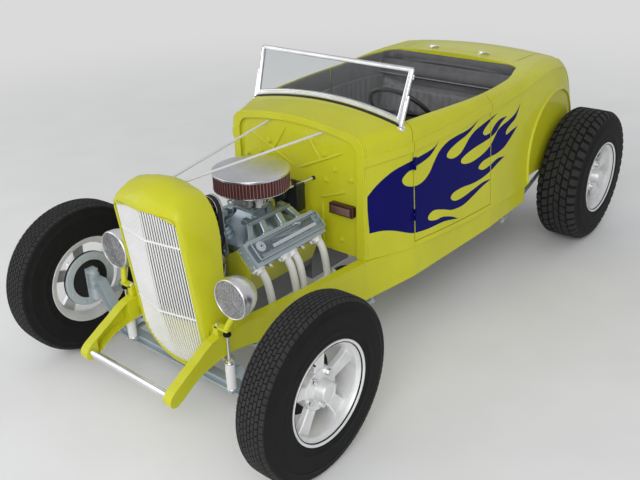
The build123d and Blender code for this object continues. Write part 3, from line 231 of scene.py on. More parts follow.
def clear(name, colour):
    """Thin clear glass."""
    finish = Finish(name, colour, 0.02)
    finish.set("Transmission Weight", 1.0)
    finish.set("IOR", 1.2)
    finish.bump(finish.noise(6, 2), 0.02, 0.002)
    return finish.material


GLASS = clear("screen_glass", (0.93, 0.96, 0.96))


def two_tone(name, low, high, level):
    """A painted finish that changes colour at one height."""
    finish = Finish(name, high, 0.38)
    parts = finish.tree.nodes.new("ShaderNodeSeparateXYZ")
    finish.tree.links.new(finish.coords.outputs["Object"], parts.inputs["Vector"])
    above = finish.tree.nodes.new("ShaderNodeMath")
    above.operation = "GREATER_THAN"
    above.inputs[1].default_value = level
    finish.tree.links.new(parts.outputs["Z"], above.inputs[0])
    finish.colour_from(finish.ramp(above.outputs["Value"], low, high, 0.4, 0.6))
    finish.set("Coat Weight", 0.4)
    finish.vary_roughness(60, 0.32, 0.48)
    finish.soften(0.004)
    finish.bump(finish.noise(240, 4), 0.08, 0.001)
    return finish.material


SLOT_FINISH = {
    "body_paint": YELLOW, "axle_paint": AXLE_BLUE, "head_paint": HEAD_BLUE, "cover_paint": COVER_BLUE,
    "filter": CHROME, "manifold": MANIFOLD, "header_white": WHITE_COAT, "chrome": CHROME, "steel": STEEL,
    "cast": CAST, "radiator_core": CORE_BLACK, "seat_leather": LEATHER, "wheel_alloy": ALLOY,
    "tyre_rubber": RUBBER_WITH_PAINTED_SHADE, "black_plastic": BLACK, "red_plastic": RED, "screen_glass": GLASS,
}
for part in frame["record"]["subparts"]:
    node = frame["nodes"][part["node"]]
    node.data.materials.clear()
    node.data.materials.append(SLOT_FINISH[part["material_slot"]])
BLOCK_PAINT = two_tone("block_paint", (0.13, 0.13, 0.15), (0.60, 0.60, 0.028), 0.462)
frame["nodes"]["engine_block"].data.materials[0] = BLOCK_PAINT


# Mesh building
class Shape:
    """A mesh under construction, whose faces take the finish in use when they are added."""

    def __init__(self, name):
        self.name = name
        self.mesh = bmesh.new()
        self.finishes = []
        self.slot = 0

    def use(self, finish):
        if finish not in self.finishes:
            self.finishes.append(finish)
        self.slot = self.finishes.index(finish)
        return self

    def add(self, points, faces):
        """Points and the faces between them, given by the points' numbers."""
        corners = [self.mesh.verts.new(point) for point in points]
        for face in faces:
            made = self.mesh.faces.new([corners[number] for number in face])
            made.material_index = self.slot
        return self

    def rings(self, rings, loop=False, caps=True):
        """A skin over rings of points of equal count, closed round each ring."""
        count = len(rings[0])
        points = [point for ring in rings for point in ring]
        faces = []
        last = len(rings) if loop else len(rings) - 1
        for order in range(last):
            near = order * count
            far = (order + 1) % len(rings) * count
            for step in range(count):
                onward = (step + 1) % count
                faces.append((near + step, near + onward, far + onward, far + step))
        if caps and not loop:
            faces.append(tuple(reversed(range(count))))
            faces.append(tuple(range((len(rings) - 1) * count, len(rings) * count)))
        return self.add(points, faces)

    def lathe(self, place, profile, steps=48, closed=False, start=0, turn=360):
        """Revolve a profile of (height, radius) round the third axis of a place."""
        whole = turn == 360
        rings = []
        for height, radius in profile:
            rings.append([place @ Vector((radius * math.cos(math.radians(start + turn * step / steps)),
                                          radius * math.sin(math.radians(start + turn * step / steps)),
                                          height))
                          for step in range(steps if whole else steps + 1)])
        return self.rings(rings, loop=closed, caps=not closed)

    def tube(self, path, radius, steps=14, loop=False, flat=1.0):
        """A round tube along a path of points; the radius may be one number or one for each point."""
        radii = radius if isinstance(radius, (list, tuple)) else [radius] * len(path)
        rings = []
        normal = None
        for order, point in enumerate(path):
            ahead = path[(order + 1) % len(path)] if loop or order + 1 < len(path) else point
            behind = path[order - 1] if loop or order else point
            along = (ahead - behind).normalized()
            if normal is None:
                normal = along.orthogonal().normalized()
            normal = (normal - along * normal.dot(along)).normalized()
            across = along.cross(normal)
            rings.append([point + (normal * math.cos(math.tau * step / steps)
                                   + across * math.sin(math.tau * step / steps) * flat) * radii[order]
                          for step in range(steps)])
        return self.rings(rings, loop=loop)

    def slab(self, place, outline, low, high, bevel=0.0):
        """An outline in the first two axes of a place, carried along the third, with bevelled rims."""
        levels = [(low, bevel), (low + bevel, 0), (high - bevel, 0),
                  (high, bevel)] if bevel else [(low, 0), (high, 0)]
        rings = []
        for level, pull in levels:
            edge = inset(outline, pull) if pull else outline
            rings.append([place @ Vector((u, v, level)) for u, v in edge])
        return self.rings(rings)

    def done(self, body, replaces=(), sharp=38, bevel=0.0, segments=2):
        """Close the mesh into an object that rides on a body."""
        bmesh.ops.remove_doubles(self.mesh, verts=self.mesh.verts, dist=1e-6)
        bmesh.ops.recalc_face_normals(self.mesh, faces=self.mesh.faces)
        data = bpy.data.meshes.new(self.name)
        self.mesh.to_mesh(data)
        self.mesh.free()
        for finish in self.finishes:
            data.materials.append(finish)
        return stand(bpy.data.objects.new(self.name, data), body, replaces, sharp, bevel, segments)


def stand(piece, body, replaces=(), sharp=38, bevel=0.0, segments=2):
    """Link a piece, shade it smooth up to an angle, round its edges and let it ride on its body."""
    bpy.context.scene.collection.objects.link(piece)
    piece.data.shade_smooth()
    piece.data.set_sharp_from_angle(angle=math.radians(sharp))
    if bevel:
        rounding = piece.modifiers.new("rounding", "BEVEL")
        rounding.width = bevel
        rounding.segments = segments
        rounding.limit_method = "ANGLE"
        rounding.angle_limit = math.radians(sharp)
        rounding.harden_normals = True
    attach(piece, body)
    if replaces:
        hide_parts(*replaces)
    return piece


def frame_at(origin, u, v):
    """A place whose first two axes are u and v and whose third is their cross product."""
    u = Vector(u).normalized()
    v = Vector(v).normalized()
    w = u.cross(v)
    turned = Matrix((u, v, w)).transposed()
    return Matrix.Translation(origin) @ turned.to_4x4()


def spot(origin, way, first=None):
    """A place whose third axis points a given way."""
    way = Vector(way).normalized()
    u = Vector(first) if first else way.orthogonal()
    u = (u - way * u.dot(way)).normalized()
    return frame_at(Vector(origin), u, way.cross(u))


def upright(x, back, z=0.0):
    """A place at a point, with its axes along the car's own."""
    return frame_at(at(x, back, z), (1, 0, 0), (0, 1, 0))


def moved(place, u, v, w):
    """A place carried along its own axes."""
    return place @ Matrix.Translation((u, v, w))


def inset(outline, amount):
    """A closed outline, counted anticlockwise, pulled inwards by an even amount."""
    pulled = []
    for order, here in enumerate(outline):
        before = Vector(outline[order - 1])
        after = Vector(outline[(order + 1) % len(outline)])
        here = Vector(here)
        first = (here - before).normalized()
        second = (after - here).normalized()
        normal = Vector((-first.y, first.x)) + Vector((-second.y, second.x))
        length = max(normal.length, 0.2)
        pulled.append(here + normal / length * min(amount * 2 / length, amount * 2.2))
    return [(point.x, point.y) for point in pulled]


def spread(low, high, count):
    """Evenly spread numbers from low to high."""
    return [low + (high - low) * order / (count - 1) for order in range(count)]


def arc(u, v, reach_u, reach_v, start, end, count):
    """Points along an arc about a centre, between two angles in degrees."""
    turns = [math.radians(angle) for angle in spread(start, end, count)]
    return [(u + reach_u * math.cos(turn), v + reach_v * math.sin(turn)) for turn in turns]


def circle(count, radius):
    """Points evenly round a circle."""
    turns = [math.tau * order / count for order in range(count)]
    return [(radius * math.cos(turn), radius * math.sin(turn)) for turn in turns]


def box_outline(u, v, corner=0.0, steps=4):
    """A rectangle about the centre, anticlockwise, with round corners."""
    if not corner:
        return [(-u, -v), (u, -v), (u, v), (-u, v)]
    points = []
    for way_u, way_v, start in ((1, 1, 0), (-1, 1, 90), (-1, -1, 180), (1, -1, 270)):
        points += arc(way_u * (u - corner), way_v * (v - corner), corner, corner, start, start + 90,
                      steps + 1)
    return points


def curve_through(points, steps):
    """Points of a smooth curve that passes through the given ones."""
    points = [Vector(point) for point in points]
    made = []
    for order in range(len(points) - 1):
        p1, p2 = points[order], points[order + 1]
        p0 = points[order - 1] if order else p1 * 2 - p2
        p3 = points[order + 2] if order + 2 < len(points) else p2 * 2 - p1
        for step in range(steps):
            t = step / steps
            made.append(((p1 * 2) + (p2 - p0) * t + (p0 * 2 - p1 * 5 + p2 * 4 - p3) * t * t
                         + (p1 * 3 - p0 - p2 * 3 + p3) * t * t * t) / 2)
    return made + [points[-1]]


def mirrored(points):
    """The same points on the other side of the car."""
    return [Vector((-point.x, point.y, point.z)) for point in points]


def smooth_at(rows, back, column):
    """A value of a table at a place between its rows, on a curve that never overshoots."""
    rows = [(row[0], row[column]) for row in rows]
    if back <= rows[0][0]:
        return rows[0][1]
    if back >= rows[-1][0]:
        return rows[-1][1]
    slopes = [(b[1] - a[1]) / (b[0] - a[0]) for a, b in zip(rows, rows[1:])]
    tangents = [slopes[0]]
    for before, after in zip(slopes, slopes[1:]):
        tangents.append(0 if before * after <= 0 else 2 * before * after / (before + after))
    tangents.append(slopes[-1])
    for order, (a, b) in enumerate(zip(rows, rows[1:])):
        if a[0] <= back <= b[0]:
            run = b[0] - a[0]
            t = (back - a[0]) / run
            return (a[1] * (2 * t ** 3 - 3 * t ** 2 + 1) + tangents[order] * run * (t ** 3 - 2 * t ** 2 + t)
                    + b[1] * (3 * t ** 2 - 2 * t ** 3) + tangents[order + 1] * run * (t ** 3 - t ** 2))


# The body's skin, cut from one smooth outside and one smooth inside
# columns: back, x_bottom, x_shoulder, z_shoulder, x_top, z_top, z_crown, x_inside
BODY_ROWS = [
    (0.783, 0.415, 0.406, 1.030, 0.335, 1.100, 1.130, 0.368),
    (1.057, 0.522, 0.491, 1.062, 0.436, 1.116, 1.156, 0.446),
    (1.689, 0.598, 0.556, 1.060, 0.492, 1.116, 1.152, 0.508),
    (2.096, 0.606, 0.571, 1.048, 0.455, 1.132, 1.158, 0.502),
    (2.300, 0.604, 0.572, 1.030, 0.436, 1.139, 1.162, 0.500),
    (2.480, 0.592, 0.566, 1.008, 0.430, 1.138, 1.160, 0.500),
    (2.640, 0.574, 0.550, 0.970, 0.422, 1.120, 1.143, 0.498),
    (2.760, 0.556, 0.532, 0.880, 0.408, 1.040, 1.062, 0.486),
    (2.840, 0.540, 0.516, 0.770, 0.392, 0.920, 0.940, 0.470),
    (2.890, 0.524, 0.500, 0.660, 0.376, 0.770, 0.788, 0.455),
]
# columns: back, height of the middle of the belt moulding
BELT_ROWS = [(0.783, 0.982), (1.057, 1.000), (1.66, 1.046), (2.0, 1.076), (2.3, 1.104), (2.45, 1.106),
             (2.64, 1.080), (2.76, 0.995), (2.84, 0.868), (2.89, 0.725)]
BODY_LOW = 0.4903
BELT_HALF = 0.021
BELT_PROUD = 0.008
BELT_BEVEL = 0.004
TOP_WALL = 0.028
COWL_FRONT = 0.783
DOOR_FRONT = 1.057
DOOR_REAR = 1.689
COCKPIT_REAR = WHEELBASE - 0.460
LID_FRONT = WHEELBASE - 0.392
TAIL = WHEELBASE + 0.198
ARCH_BACK = WHEELBASE - 0.212
ARCH_Z = 0.590
ARCH_RADIUS = 0.368
GAP = 0.005
SILL_TOP = 0.5163
LID_HALF = 0.380
LID_LOW = 0.645
WELL_FROM = 0.545
TYRE_ROOM = 0.025
# how far the blocks that cut the body reach past it
FAR_SIDE = 0.8
FAR_BEHIND = 3.0
FAR_BELOW = 0.4
FAR_ABOVE = 1.4


def half_section(back, inside=False):
    """X and Z of a dense line up the left half of the body's section, from its foot to its crown."""
    x_bottom, x_side, z_side, x_top, z_top, crown, x_in = [smooth_at(BODY_ROWS, back, n)
                                                           for n in range(1, 8)]
    low = BODY_LOW
    if inside:
        x_bottom = x_side = x_in
        low -= 0.02
        z_side, x_top, z_top, crown = z_side - TOP_WALL, x_top - TOP_WALL, z_top - TOP_WALL, crown - TOP_WALL
    line = [(x_bottom + (x_side - x_bottom) * t, low + (z_side - low) * t) for t in spread(0, 1, 40)]
    for angle in spread(0, math.pi / 2, 24)[1:]:
        line.append((x_top + (x_side - x_top) * math.cos(angle),
                     z_side + (z_top - z_side) * math.sin(angle)))
    for x in spread(x_top, 0, 24)[1:]:
        line.append((x, z_top + (crown - z_top) * (1 - (x / x_top) ** 2)))
    return line


def run_lengths(line):
    """The distance run along a line at each of its points."""
    lengths = [0]
    for a, b in zip(line, line[1:]):
        lengths.append(lengths[-1] + math.hypot(b[0] - a[0], b[1] - a[1]))
    return lengths


def along_line(line, lengths, wanted):
    """The point of a line at a length along it, with the line's outward normal there."""
    for order in range(1, len(line)):
        if lengths[order] >= wanted or order == len(line) - 1:
            a, b = line[order - 1], line[order]
            share = (wanted - lengths[order - 1]) / (lengths[order] - lengths[order - 1])
            dx, dz = b[0] - a[0], b[1] - a[1]
            size = math.hypot(dx, dz)
            return (a[0] + dx * share, a[1] + dz * share, dz / size, -dx / size)


def both_sides(half, back):
    """A line up the left half of a section, carried on down the right."""
    return [at(x, back, z) for x, z in half] + [at(-x, back, z) for x, z in reversed(half[:-1])]


def outside_ring(back, grow=0.0):
    """One closed ring of the body's outside, grown a little, with the belt moulding standing proud of it."""
    line = half_section(back)
    lengths = run_lengths(line)
    belt = smooth_at(BELT_ROWS, back, 1)
    marks = []
    for z in (belt - BELT_HALF - BELT_BEVEL, belt + BELT_HALF + BELT_BEVEL):
        order = next(n for n in range(1, len(line)) if line[n][1] >= z or n == len(line) - 1)
        share = (z - line[order - 1][1]) / (line[order][1] - line[order - 1][1])
        marks.append(lengths[order - 1] + share * (lengths[order] - lengths[order - 1]))
    rise = (marks[1] - marks[0]) * BELT_BEVEL / (2 * (BELT_HALF + BELT_BEVEL))
    stops = [(s, 0) for s in spread(0, marks[0], 10)]
    stops += [(marks[0] + rise, BELT_PROUD), (sum(marks) / 2, BELT_PROUD * 1.15),
              (marks[1] - rise, BELT_PROUD)]
    stops += [(s, 0) for s in spread(marks[1], lengths[-1], 34)]
    half = []
    for wanted, proud in stops:
        x, z, out_x, out_z = along_line(line, lengths, wanted)
        half.append((x + out_x * (proud + grow), z + out_z * (proud + grow)))
    return both_sides(half, back)


def inside_ring(back):
    """One closed ring of the body's inside."""
    line = half_section(back, inside=True)
    return both_sides(line[::3] + [line[-1]], back)


def side_x(back, z):
    """X of the body's outside on the left at a height."""
    line = half_section(back)
    for a, b in zip(line, line[1:]):
        if a[1] <= z <= b[1]:
            return a[0] + (b[0] - a[0]) * (z - a[1]) / (b[1] - a[1])
    return line[0][0] if z < line[0][1] else 0.3


def solid(name, fill):
    """A bare object from a shape, to cut with or to be cut."""
    shape = Shape(name)
    fill(shape)
    bmesh.ops.recalc_face_normals(shape.mesh, faces=shape.mesh.faces)
    data = bpy.data.meshes.new(name)
    shape.mesh.to_mesh(data)
    shape.mesh.free()
    piece = bpy.data.objects.new(name, data)
    bpy.context.scene.collection.objects.link(piece)
    return piece


def brick(x_from, x_to, back_from, back_to, z_from, z_to):
    """A cutting block."""
    def fill(shape):
        low = at(x_from, back_from, z_from)
        high = at(x_to, back_to, z_to)
        corner = [(low.x, low.y), (high.x, low.y), (high.x, high.y), (low.x, high.y)]
        shape.rings([[Vector((x, y, z)) for x, y in corner] for z in (z_from, z_to)])
    return solid("cutter", fill)


def carve(start, steps):
    """A mesh made from one object by cutting it with others in turn; the tools are thrown away."""
    work = bpy.data.objects.new("work", start.data.copy())
    bpy.context.scene.collection.objects.link(work)
    for tool, way in steps:
        cut = work.modifiers.new("cut", "BOOLEAN")
        cut.object = tool
        cut.operation = way
        cut.solver = "EXACT"
    shown = work.evaluated_get(bpy.context.evaluated_depsgraph_get())
    made = bpy.data.meshes.new_from_object(shown)
    bpy.data.objects.remove(work)
    return made


def discard(*pieces):
    """Remove objects that were only there to be cut or to cut with."""
    for piece in pieces:
        bpy.data.objects.remove(piece)


def painted_mesh(name, data, finish):
    """An object whose mesh has one finish all over."""
    data.materials.clear()
    data.materials.append(finish)
    return bpy.data.objects.new(name, data)


def disc_solid(x_from, x_to, back, z, radius):
    """A round cutting block that lies across the car."""
    rim = circle(96, radius)
    return solid("cutter", lambda shape: shape.rings(
        [[at(x, back + u, z + v) for u, v in rim] for x in (x_from, x_to)]))


CORNER_RADIUS = 0.077


def opening_edge(back):
    """Half width of the cockpit's opening."""
    rows = [(DOOR_FRONT, 0.442), (DOOR_REAR, 0.504), (1.9565, 0.496), (COCKPIT_REAR - 0.008, 0.426)]
    return smooth_at(rows, back, 1)


def cockpit_outline():
    """The opening's left edge, from the front to the rounded rear corner, as X and back."""
    corner_back = COCKPIT_REAR - 0.085
    corner_x = opening_edge(corner_back) - CORNER_RADIUS
    edge = [(opening_edge(back), back) for back in spread(DOOR_FRONT, corner_back, 24)]
    return edge + arc(corner_x, corner_back, CORNER_RADIUS, CORNER_RADIUS, 0, 90, 10)[1:]


def make_body():
    """Cowl, doors, rear body and deck lid, cut from one skin so that their lines run on."""
    backs = spread(COWL_FRONT, 2.6, 66) + spread(2.62, TAIL, 20)
    outer = solid("outer", lambda shape: shape.rings([outside_ring(back) for back in backs]))
    inner = solid("inner", lambda shape: shape.rings([inside_ring(back) for back in [0.76] + backs[:-6]]))
    edge = cockpit_outline()
    plan = edge + [(-x, back) for x, back in reversed(edge)]
    opening = solid("opening", lambda shape: shape.rings(
        [[at(x, back, z) for x, back in plan] for z in (1.0, 1.4)]))
    skin = bpy.data.objects.new("skin", carve(outer, [(inner, "DIFFERENCE"), (opening, "DIFFERENCE")]))
    bpy.context.scene.collection.objects.link(skin)
    tools = []
    for side in (-1, 1):
        far = side * FAR_SIDE
        tools.append(disc_solid(side * WELL_FROM, far, ARCH_BACK, ARCH_Z, ARCH_RADIUS))
        tools.append(disc_solid(side * WELL_FROM, far, WHEELBASE, REAR_RADIUS, REAR_RADIUS + TYRE_ROOM))
    lid_space = brick(-LID_HALF - GAP, LID_HALF + GAP, LID_FRONT, FAR_BEHIND, LID_LOW - GAP, FAR_ABOVE)
    door = (DOOR_FRONT + GAP, DOOR_REAR - GAP, SILL_TOP + GAP, FAR_ABOVE)
    limits = {
        "cowl": brick(-FAR_SIDE, FAR_SIDE, 0.70, DOOR_FRONT, FAR_BELOW, FAR_ABOVE),
        "door_left": brick(0.2, FAR_SIDE, *door),
        "door_right": brick(-FAR_SIDE, -0.2, *door),
        "rear_body": brick(-FAR_SIDE, FAR_SIDE, DOOR_REAR, FAR_BEHIND, FAR_BELOW, FAR_ABOVE),
        "decklid": brick(-LID_HALF, LID_HALF, LID_FRONT + GAP, FAR_BEHIND, LID_LOW, FAR_ABOVE),
    }
    for name, limit in limits.items():
        steps = [(limit, "INTERSECT")]
        if name == "rear_body":
            steps += [(tool, "DIFFERENCE") for tool in tools + [lid_space]]
        body = name if name in ("door_left", "door_right", "decklid") else "chassis"
        stand(painted_mesh(name + "_skin", carve(skin, steps), YELLOW), body, (name,), 34, 0.0022)
    discard(outer, inner, opening, skin, lid_space, *tools, *limits.values())


make_body()


NAVY = painted("flame_paint", (0.002, 0.002, 0.115), 0.5, 0.0, 0, 0.12)
FLAME_LOW = 0.5235

# The flames' outline on the body's side, as back and height, one sharp tip to the next a row
FLAME_RUNS = [
    [(0.800, 0.812), (0.852, 0.861), (0.914, 0.900), (0.967, 0.921), (1.054, 0.937), (1.100, 0.943),
     (1.192, 0.957), (1.242, 0.979)],
    [(1.242, 0.979), (1.174, 0.927), (1.080, 0.902), (1.020, 0.886), (0.987, 0.856), (1.006, 0.824),
     (1.063, 0.806), (1.118, 0.811), (1.168, 0.842), (1.206, 0.890), (1.246, 0.932), (1.306, 0.962),
     (1.379, 0.975), (1.481, 0.984), (1.573, 1.011)],
    [(1.573, 1.011), (1.481, 0.964), (1.379, 0.938), (1.318, 0.914), (1.303, 0.888), (1.348, 0.868),
     (1.407, 0.876), (1.449, 0.904), (1.491, 0.938), (1.545, 0.963), (1.630, 0.982), (1.753, 1.004)],
    [(1.753, 1.004), (1.662, 0.968), (1.612, 0.936), (1.634, 0.914), (1.688, 0.918), (1.723, 0.944),
     (1.778, 0.964), (1.853, 0.964)],
    [(1.853, 0.964), (1.790, 0.940), (1.740, 0.906), (1.670, 0.888), (1.522, 0.873), (1.430, 0.850),
     (1.417, 0.827), (1.458, 0.810), (1.521, 0.807), (1.611, 0.821), (1.682, 0.847), (1.724, 0.880),
     (1.760, 0.910), (1.812, 0.926), (1.880, 0.938), (1.946, 0.958), (1.998, 0.998)],
    [(1.998, 0.998), (1.947, 0.932), (1.885, 0.906), (1.845, 0.884), (1.848, 0.862), (1.905, 0.872),
     (1.970, 0.880)],
    [(1.970, 0.880), (1.885, 0.828), (1.820, 0.798), (1.744, 0.785), (1.680, 0.786), (1.605, 0.780),
     (1.568, 0.756), (1.611, 0.735), (1.682, 0.740), (1.760, 0.755), (1.834, 0.746)],
    [(1.834, 0.746), (1.765, 0.730), (1.695, 0.708), (1.610, 0.693), (1.520, 0.688), (1.424, 0.694),
     (1.350, 0.687), (1.328, 0.663), (1.363, 0.640), (1.423, 0.639), (1.519, 0.654), (1.610, 0.666),
     (1.695, 0.661)],
    [(1.695, 0.661), (1.600, 0.644), (1.519, 0.620), (1.433, 0.597), (1.342, 0.598), (1.270, 0.622),
     (1.200, 0.640), (1.158, 0.624), (1.160, 0.600), (1.210, 0.584), (1.265, 0.584), (1.332, 0.564),
     (1.386, 0.536)],
    [(1.386, 0.536), (1.274, 0.556), (1.150, 0.556), (1.052, 0.566), (0.999, 0.585), (0.940, 0.610),
     (0.878, 0.626), (0.812, 0.629)],
]


def flame_outline():
    """The whole outline, with a smooth curve along each of its runs."""
    outline = []
    for run in FLAME_RUNS:
        outline += [(point.x, point.y) for point in curve_through([(b, z, 0) for b, z in run], 5)[:-1]]
    return outline + [FLAME_RUNS[-1][-1]]


def make_flames():
    """Flames as a thin coat that follows the skin, split where the panels part."""
    deep, high = [solid("coat", lambda shape: shape.rings([outside_ring(back, grow) for back in spread(
        COWL_FRONT, 2.3, 60)])) for grow in (-0.0012, 0.0007)]
    outline = flame_outline()
    for hand, side in SIDES:
        prism = solid("prism", lambda shape: shape.rings(
            [[at(side * x, back, z) for back, z in outline] for x in (0.33, 0.7)]))
        for panel, body, back_from, back_to in (
                ("cowl", "chassis", 0.789, DOOR_FRONT - 0.001),
                ("door", "door_" + hand, DOOR_FRONT + GAP + 0.001, DOOR_REAR - GAP - 0.001),
                ("quarter", "chassis", DOOR_REAR + 0.001, 2.2)):
            limit = brick(-FAR_SIDE, FAR_SIDE, back_from, back_to, FLAME_LOW, FAR_ABOVE)
            data = carve(high, [(prism, "INTERSECT"), (limit, "INTERSECT"), (deep, "DIFFERENCE")])
            stand(painted_mesh("flames_%s_%s" % (panel, hand), data, NAVY), body)
            discard(limit)
        discard(prism)
    discard(high, deep)


make_flames()


# Cowl fittings: firewall with its pressed ribs, flange beads, dash and door hinges
WALL = 0.797
DASH_BACK = 1.036
DIAL_Z = 1.035
# columns: X and height of both ends of a pressed rib on the left half
WALL_RIBS = [(0.017, 0.879, 0.286, 1.004), (0.062, 1.072, 0.145, 0.946), (0.141, 0.753, 0.297, 0.813),
             (0.155, 0.730, 0.155, 0.520), (0.060, 0.690, 0.060, 0.520)]
WALL_BOLTS = [(0.176, 0.976), (0.235, 0.912), (0.180, 0.851), (0.330, 0.880), (0.330, 0.700),
              (0.270, 0.560)]


def wall_ring(back, shrink):
    """A closed ring just inside the cowl, evenly stepped from foot to foot."""
    line = half_section(back, inside=True)
    lengths = run_lengths(line)
    half = []
    for wanted in spread(0, lengths[-1], 56):
        x, z, out_x, out_z = along_line(line, lengths, wanted)
        half.append((x - out_x * shrink, max(z - out_z * shrink, BODY_LOW)))
    half[-1] = (0, half[-1][1])
    return both_sides(half, back)


def make_firewall():
    """The firewall with its pressed ribs and bolt heads, and the beads on the cowl's flange."""
    shape = Shape("firewall").use(YELLOW)
    shape.rings([wall_ring(WALL, -0.0005), wall_ring(WALL + 0.012, -0.0005)])
    for side in (1, -1):
        for x1, z1, x2, z2 in WALL_RIBS:
            path = [at(side * (x1 + (x2 - x1) * t), WALL + 0.001, z1 + (z2 - z1) * t)
                    for t in spread(0, 1, 9)]
            shape.tube(path, [0.0025] + [0.0075] * 7 + [0.0025], 12)
        for x, z in WALL_BOLTS:
            place = frame_at(at(side * x, WALL, z), (1, 0, 0), (0, 0, 1))
            shape.lathe(place, [(-0.001, 0.016), (0.003, 0.0155), (0.0035, 0.009), (0.009, 0.0085),
                                (0.011, 0.005)], 18)
    shape.done("chassis", ("cowl",), bevel=0.0)
    beads = Shape("cowl_beads").use(YELLOW)
    outer = [Vector(point) for point in outside_ring(0.787, -0.001)]
    beads.tube(outer, 0.0048, 8)
    beads.tube(wall_ring(0.785, -0.003), 0.0045, 8)
    beads.done("chassis")


def make_dash():
    """The dash with a rolled foot and four plain dials."""
    shape = Shape("dash").use(YELLOW)
    ring = wall_ring(DASH_BACK, 0.0005)
    upper = [point for point in ring if point.z > 0.962]
    shape.rings([upper, [point + Vector((0, 0.012, 0)) for point in upper]])
    foot = [upper[0], (upper[0] + upper[-1]) / 2, upper[-1]]
    shape.tube([Vector((point.x, upper[0].y, 0.962)) for point in foot], 0.009, 12)
    for x, radius in ((0.25, 0.05), (0.145, 0.034), (0.355, 0.034), (0.0, 0.034)):
        place = frame_at(at(x, DASH_BACK + 0.012, DIAL_Z), (1, 0, 0), (0, 0, -1))
        shape.use(CHROME).lathe(place, [(0, radius), (0.006, radius), (0.009, radius - 0.003),
                                        (0.006, radius - 0.006)], 36, closed=True)
        shape.use(BLACK).lathe(place, [(0.0, radius - 0.004), (0.003, radius - 0.005)], 36)
        needle = frame_at(at(x, DASH_BACK + 0.0155, DIAL_Z), (1, 0, 0.6), (-0.6, 0, 1))
        shape.use(PALE).slab(needle, box_outline(radius * 0.55, 0.0012), -0.0005, 0.0008)
        for tick in range(9):
            angle = math.radians(-30 + 30 * tick)
            centre = at(x + math.cos(angle) * radius * 0.7, DASH_BACK + 0.0155,
                        DIAL_Z + math.sin(angle) * radius * 0.7)
            mark = frame_at(centre, (math.cos(angle), 0, math.sin(angle)),
                            (-math.sin(angle), 0, math.cos(angle)))
            shape.slab(mark, box_outline(0.004, 0.0008), -0.0005, 0.0006)
    shape.done("chassis")


def make_hinges():
    """Door and deck lid hinges: each half has its knurled barrel and its leaf."""
    lean = 0.031 / 0.5717
    joint = DOOR_FRONT + 0.0025
    for side, door in ((1, "door_left"), (-1, "door_right")):
        for z in (0.660, 0.920):
            for body, way in (("chassis", -1), (door, 1)):
                shape = Shape("hinge_%s_%d_%s" % (door, round(z * 1000), body)).use(NAVY)
                near, far = z + way * 0.00025, z + way * 0.030
                x_near, x_far = [0.5305 - lean * (level - BODY_LOW) for level in (near, far)]
                foot = at(side * x_near, joint, near)
                shape.lathe(spot(foot, at(side * x_far, joint, far) - foot),
                            [(0, 0.0045), (0.0004, 0.0066), (0.0245, 0.0068), (0.026, 0.0055),
                             (0.0275, 0.0068), (0.0292, 0.0055), (0.0298, 0.003)], 20)
                centre = at(side * (x_near - 0.0075), joint + way * 0.012, (near + far) / 2)
                plate = frame_at(centre, (0, 1, 0), (0, 0, 1))
                shape.slab(plate, box_outline(0.0115, 0.013, 0.003), -0.006, 0.003, 0.001)
                shape.done(body)
    joint = LID_FRONT + 0.0025
    for x, hand in ((-0.170, "right"), (0.170, "left")):
        for body, way in (("chassis", -1), ("decklid", 1)):
            shape = Shape("lid_hinge_%s_%s" % (hand, body)).use(CHROME)
            place = frame_at(at(x + way * 0.00025, joint, 1.170), (0, way, 0), (0, 0, 1))
            shape.lathe(place, [(0, 0.0045), (0.0004, 0.0066), (0.0262, 0.0068), (0.0292, 0.0055),
                                (0.0298, 0.003)], 20)
            plate = upright(x + way * 0.0152, joint + way * 0.0125, 1.160)
            shape.slab(plate, box_outline(0.013, 0.0105, 0.003), -0.002, 0.006, 0.001)
            shape.done(body)


def arch_bead():
    """The half-round bead along each rear wheel arch."""
    shape = Shape("arch_beads").use(YELLOW)
    path = []
    for angle in spread(-16, 196, 80):
        back = ARCH_BACK - 0.3765 * math.cos(math.radians(angle))
        z = ARCH_Z + 0.3765 * math.sin(math.radians(angle))
        if z >= BODY_LOW + 0.012 and back <= TAIL - 0.03:
            path.append(at(side_x(back, z) + 0.0005, back, z))
    for run in (path, mirrored(path)):
        shape.tube(run, 0.0105, 10, flat=0.7)
    shape.done("chassis", ("rear_body",))


make_firewall()
make_dash()
make_hinges()
arch_bead()


# Wheels and tyres
# Tread rubber lighter grey than the walls: partly the tread's own grey, partly painted light on the tread
# that faces the light.
TREAD_RUBBER_WITH_PAINTED_LIGHT = plain_stuff("tread_rubber_painted_light", (0.031, 0.031, 0.031), 0.85, 260, 0.3, 0.0008, 0.3)


def tread_radius(radius, flat, t):
    """The tyre's outside at a distance from its middle plane."""
    over = max(0.0, abs(t) - flat)
    return radius - 0.0015 * min(1.0, (t / flat) ** 2) - over * 0.35 - over * over * 14


def tread_block(shape, place, radius, flat, depth, stations, near, far, skew):
    """One tread block over lateral stations, between two angles that lean by the skew."""
    lip = 0.0011
    rings = []
    count = len(stations)
    for order, t in enumerate(stations):
        top = tread_radius(radius, flat, t)
        if order in (0, count - 1):
            top -= lip
        lean = skew * (order / (count - 1) - 0.5)
        a, b = near + lean, far + lean
        soft = lip / radius
        ring = []
        for angle, height in ((a, top - depth), (a, top - lip), (a + soft, top), (b - soft, top),
                              (b, top - lip), (b, top - depth)):
            ring.append(place @ Vector((height * math.cos(angle), height * math.sin(angle), t)))
        rings.append(ring)
    shape.rings(rings)


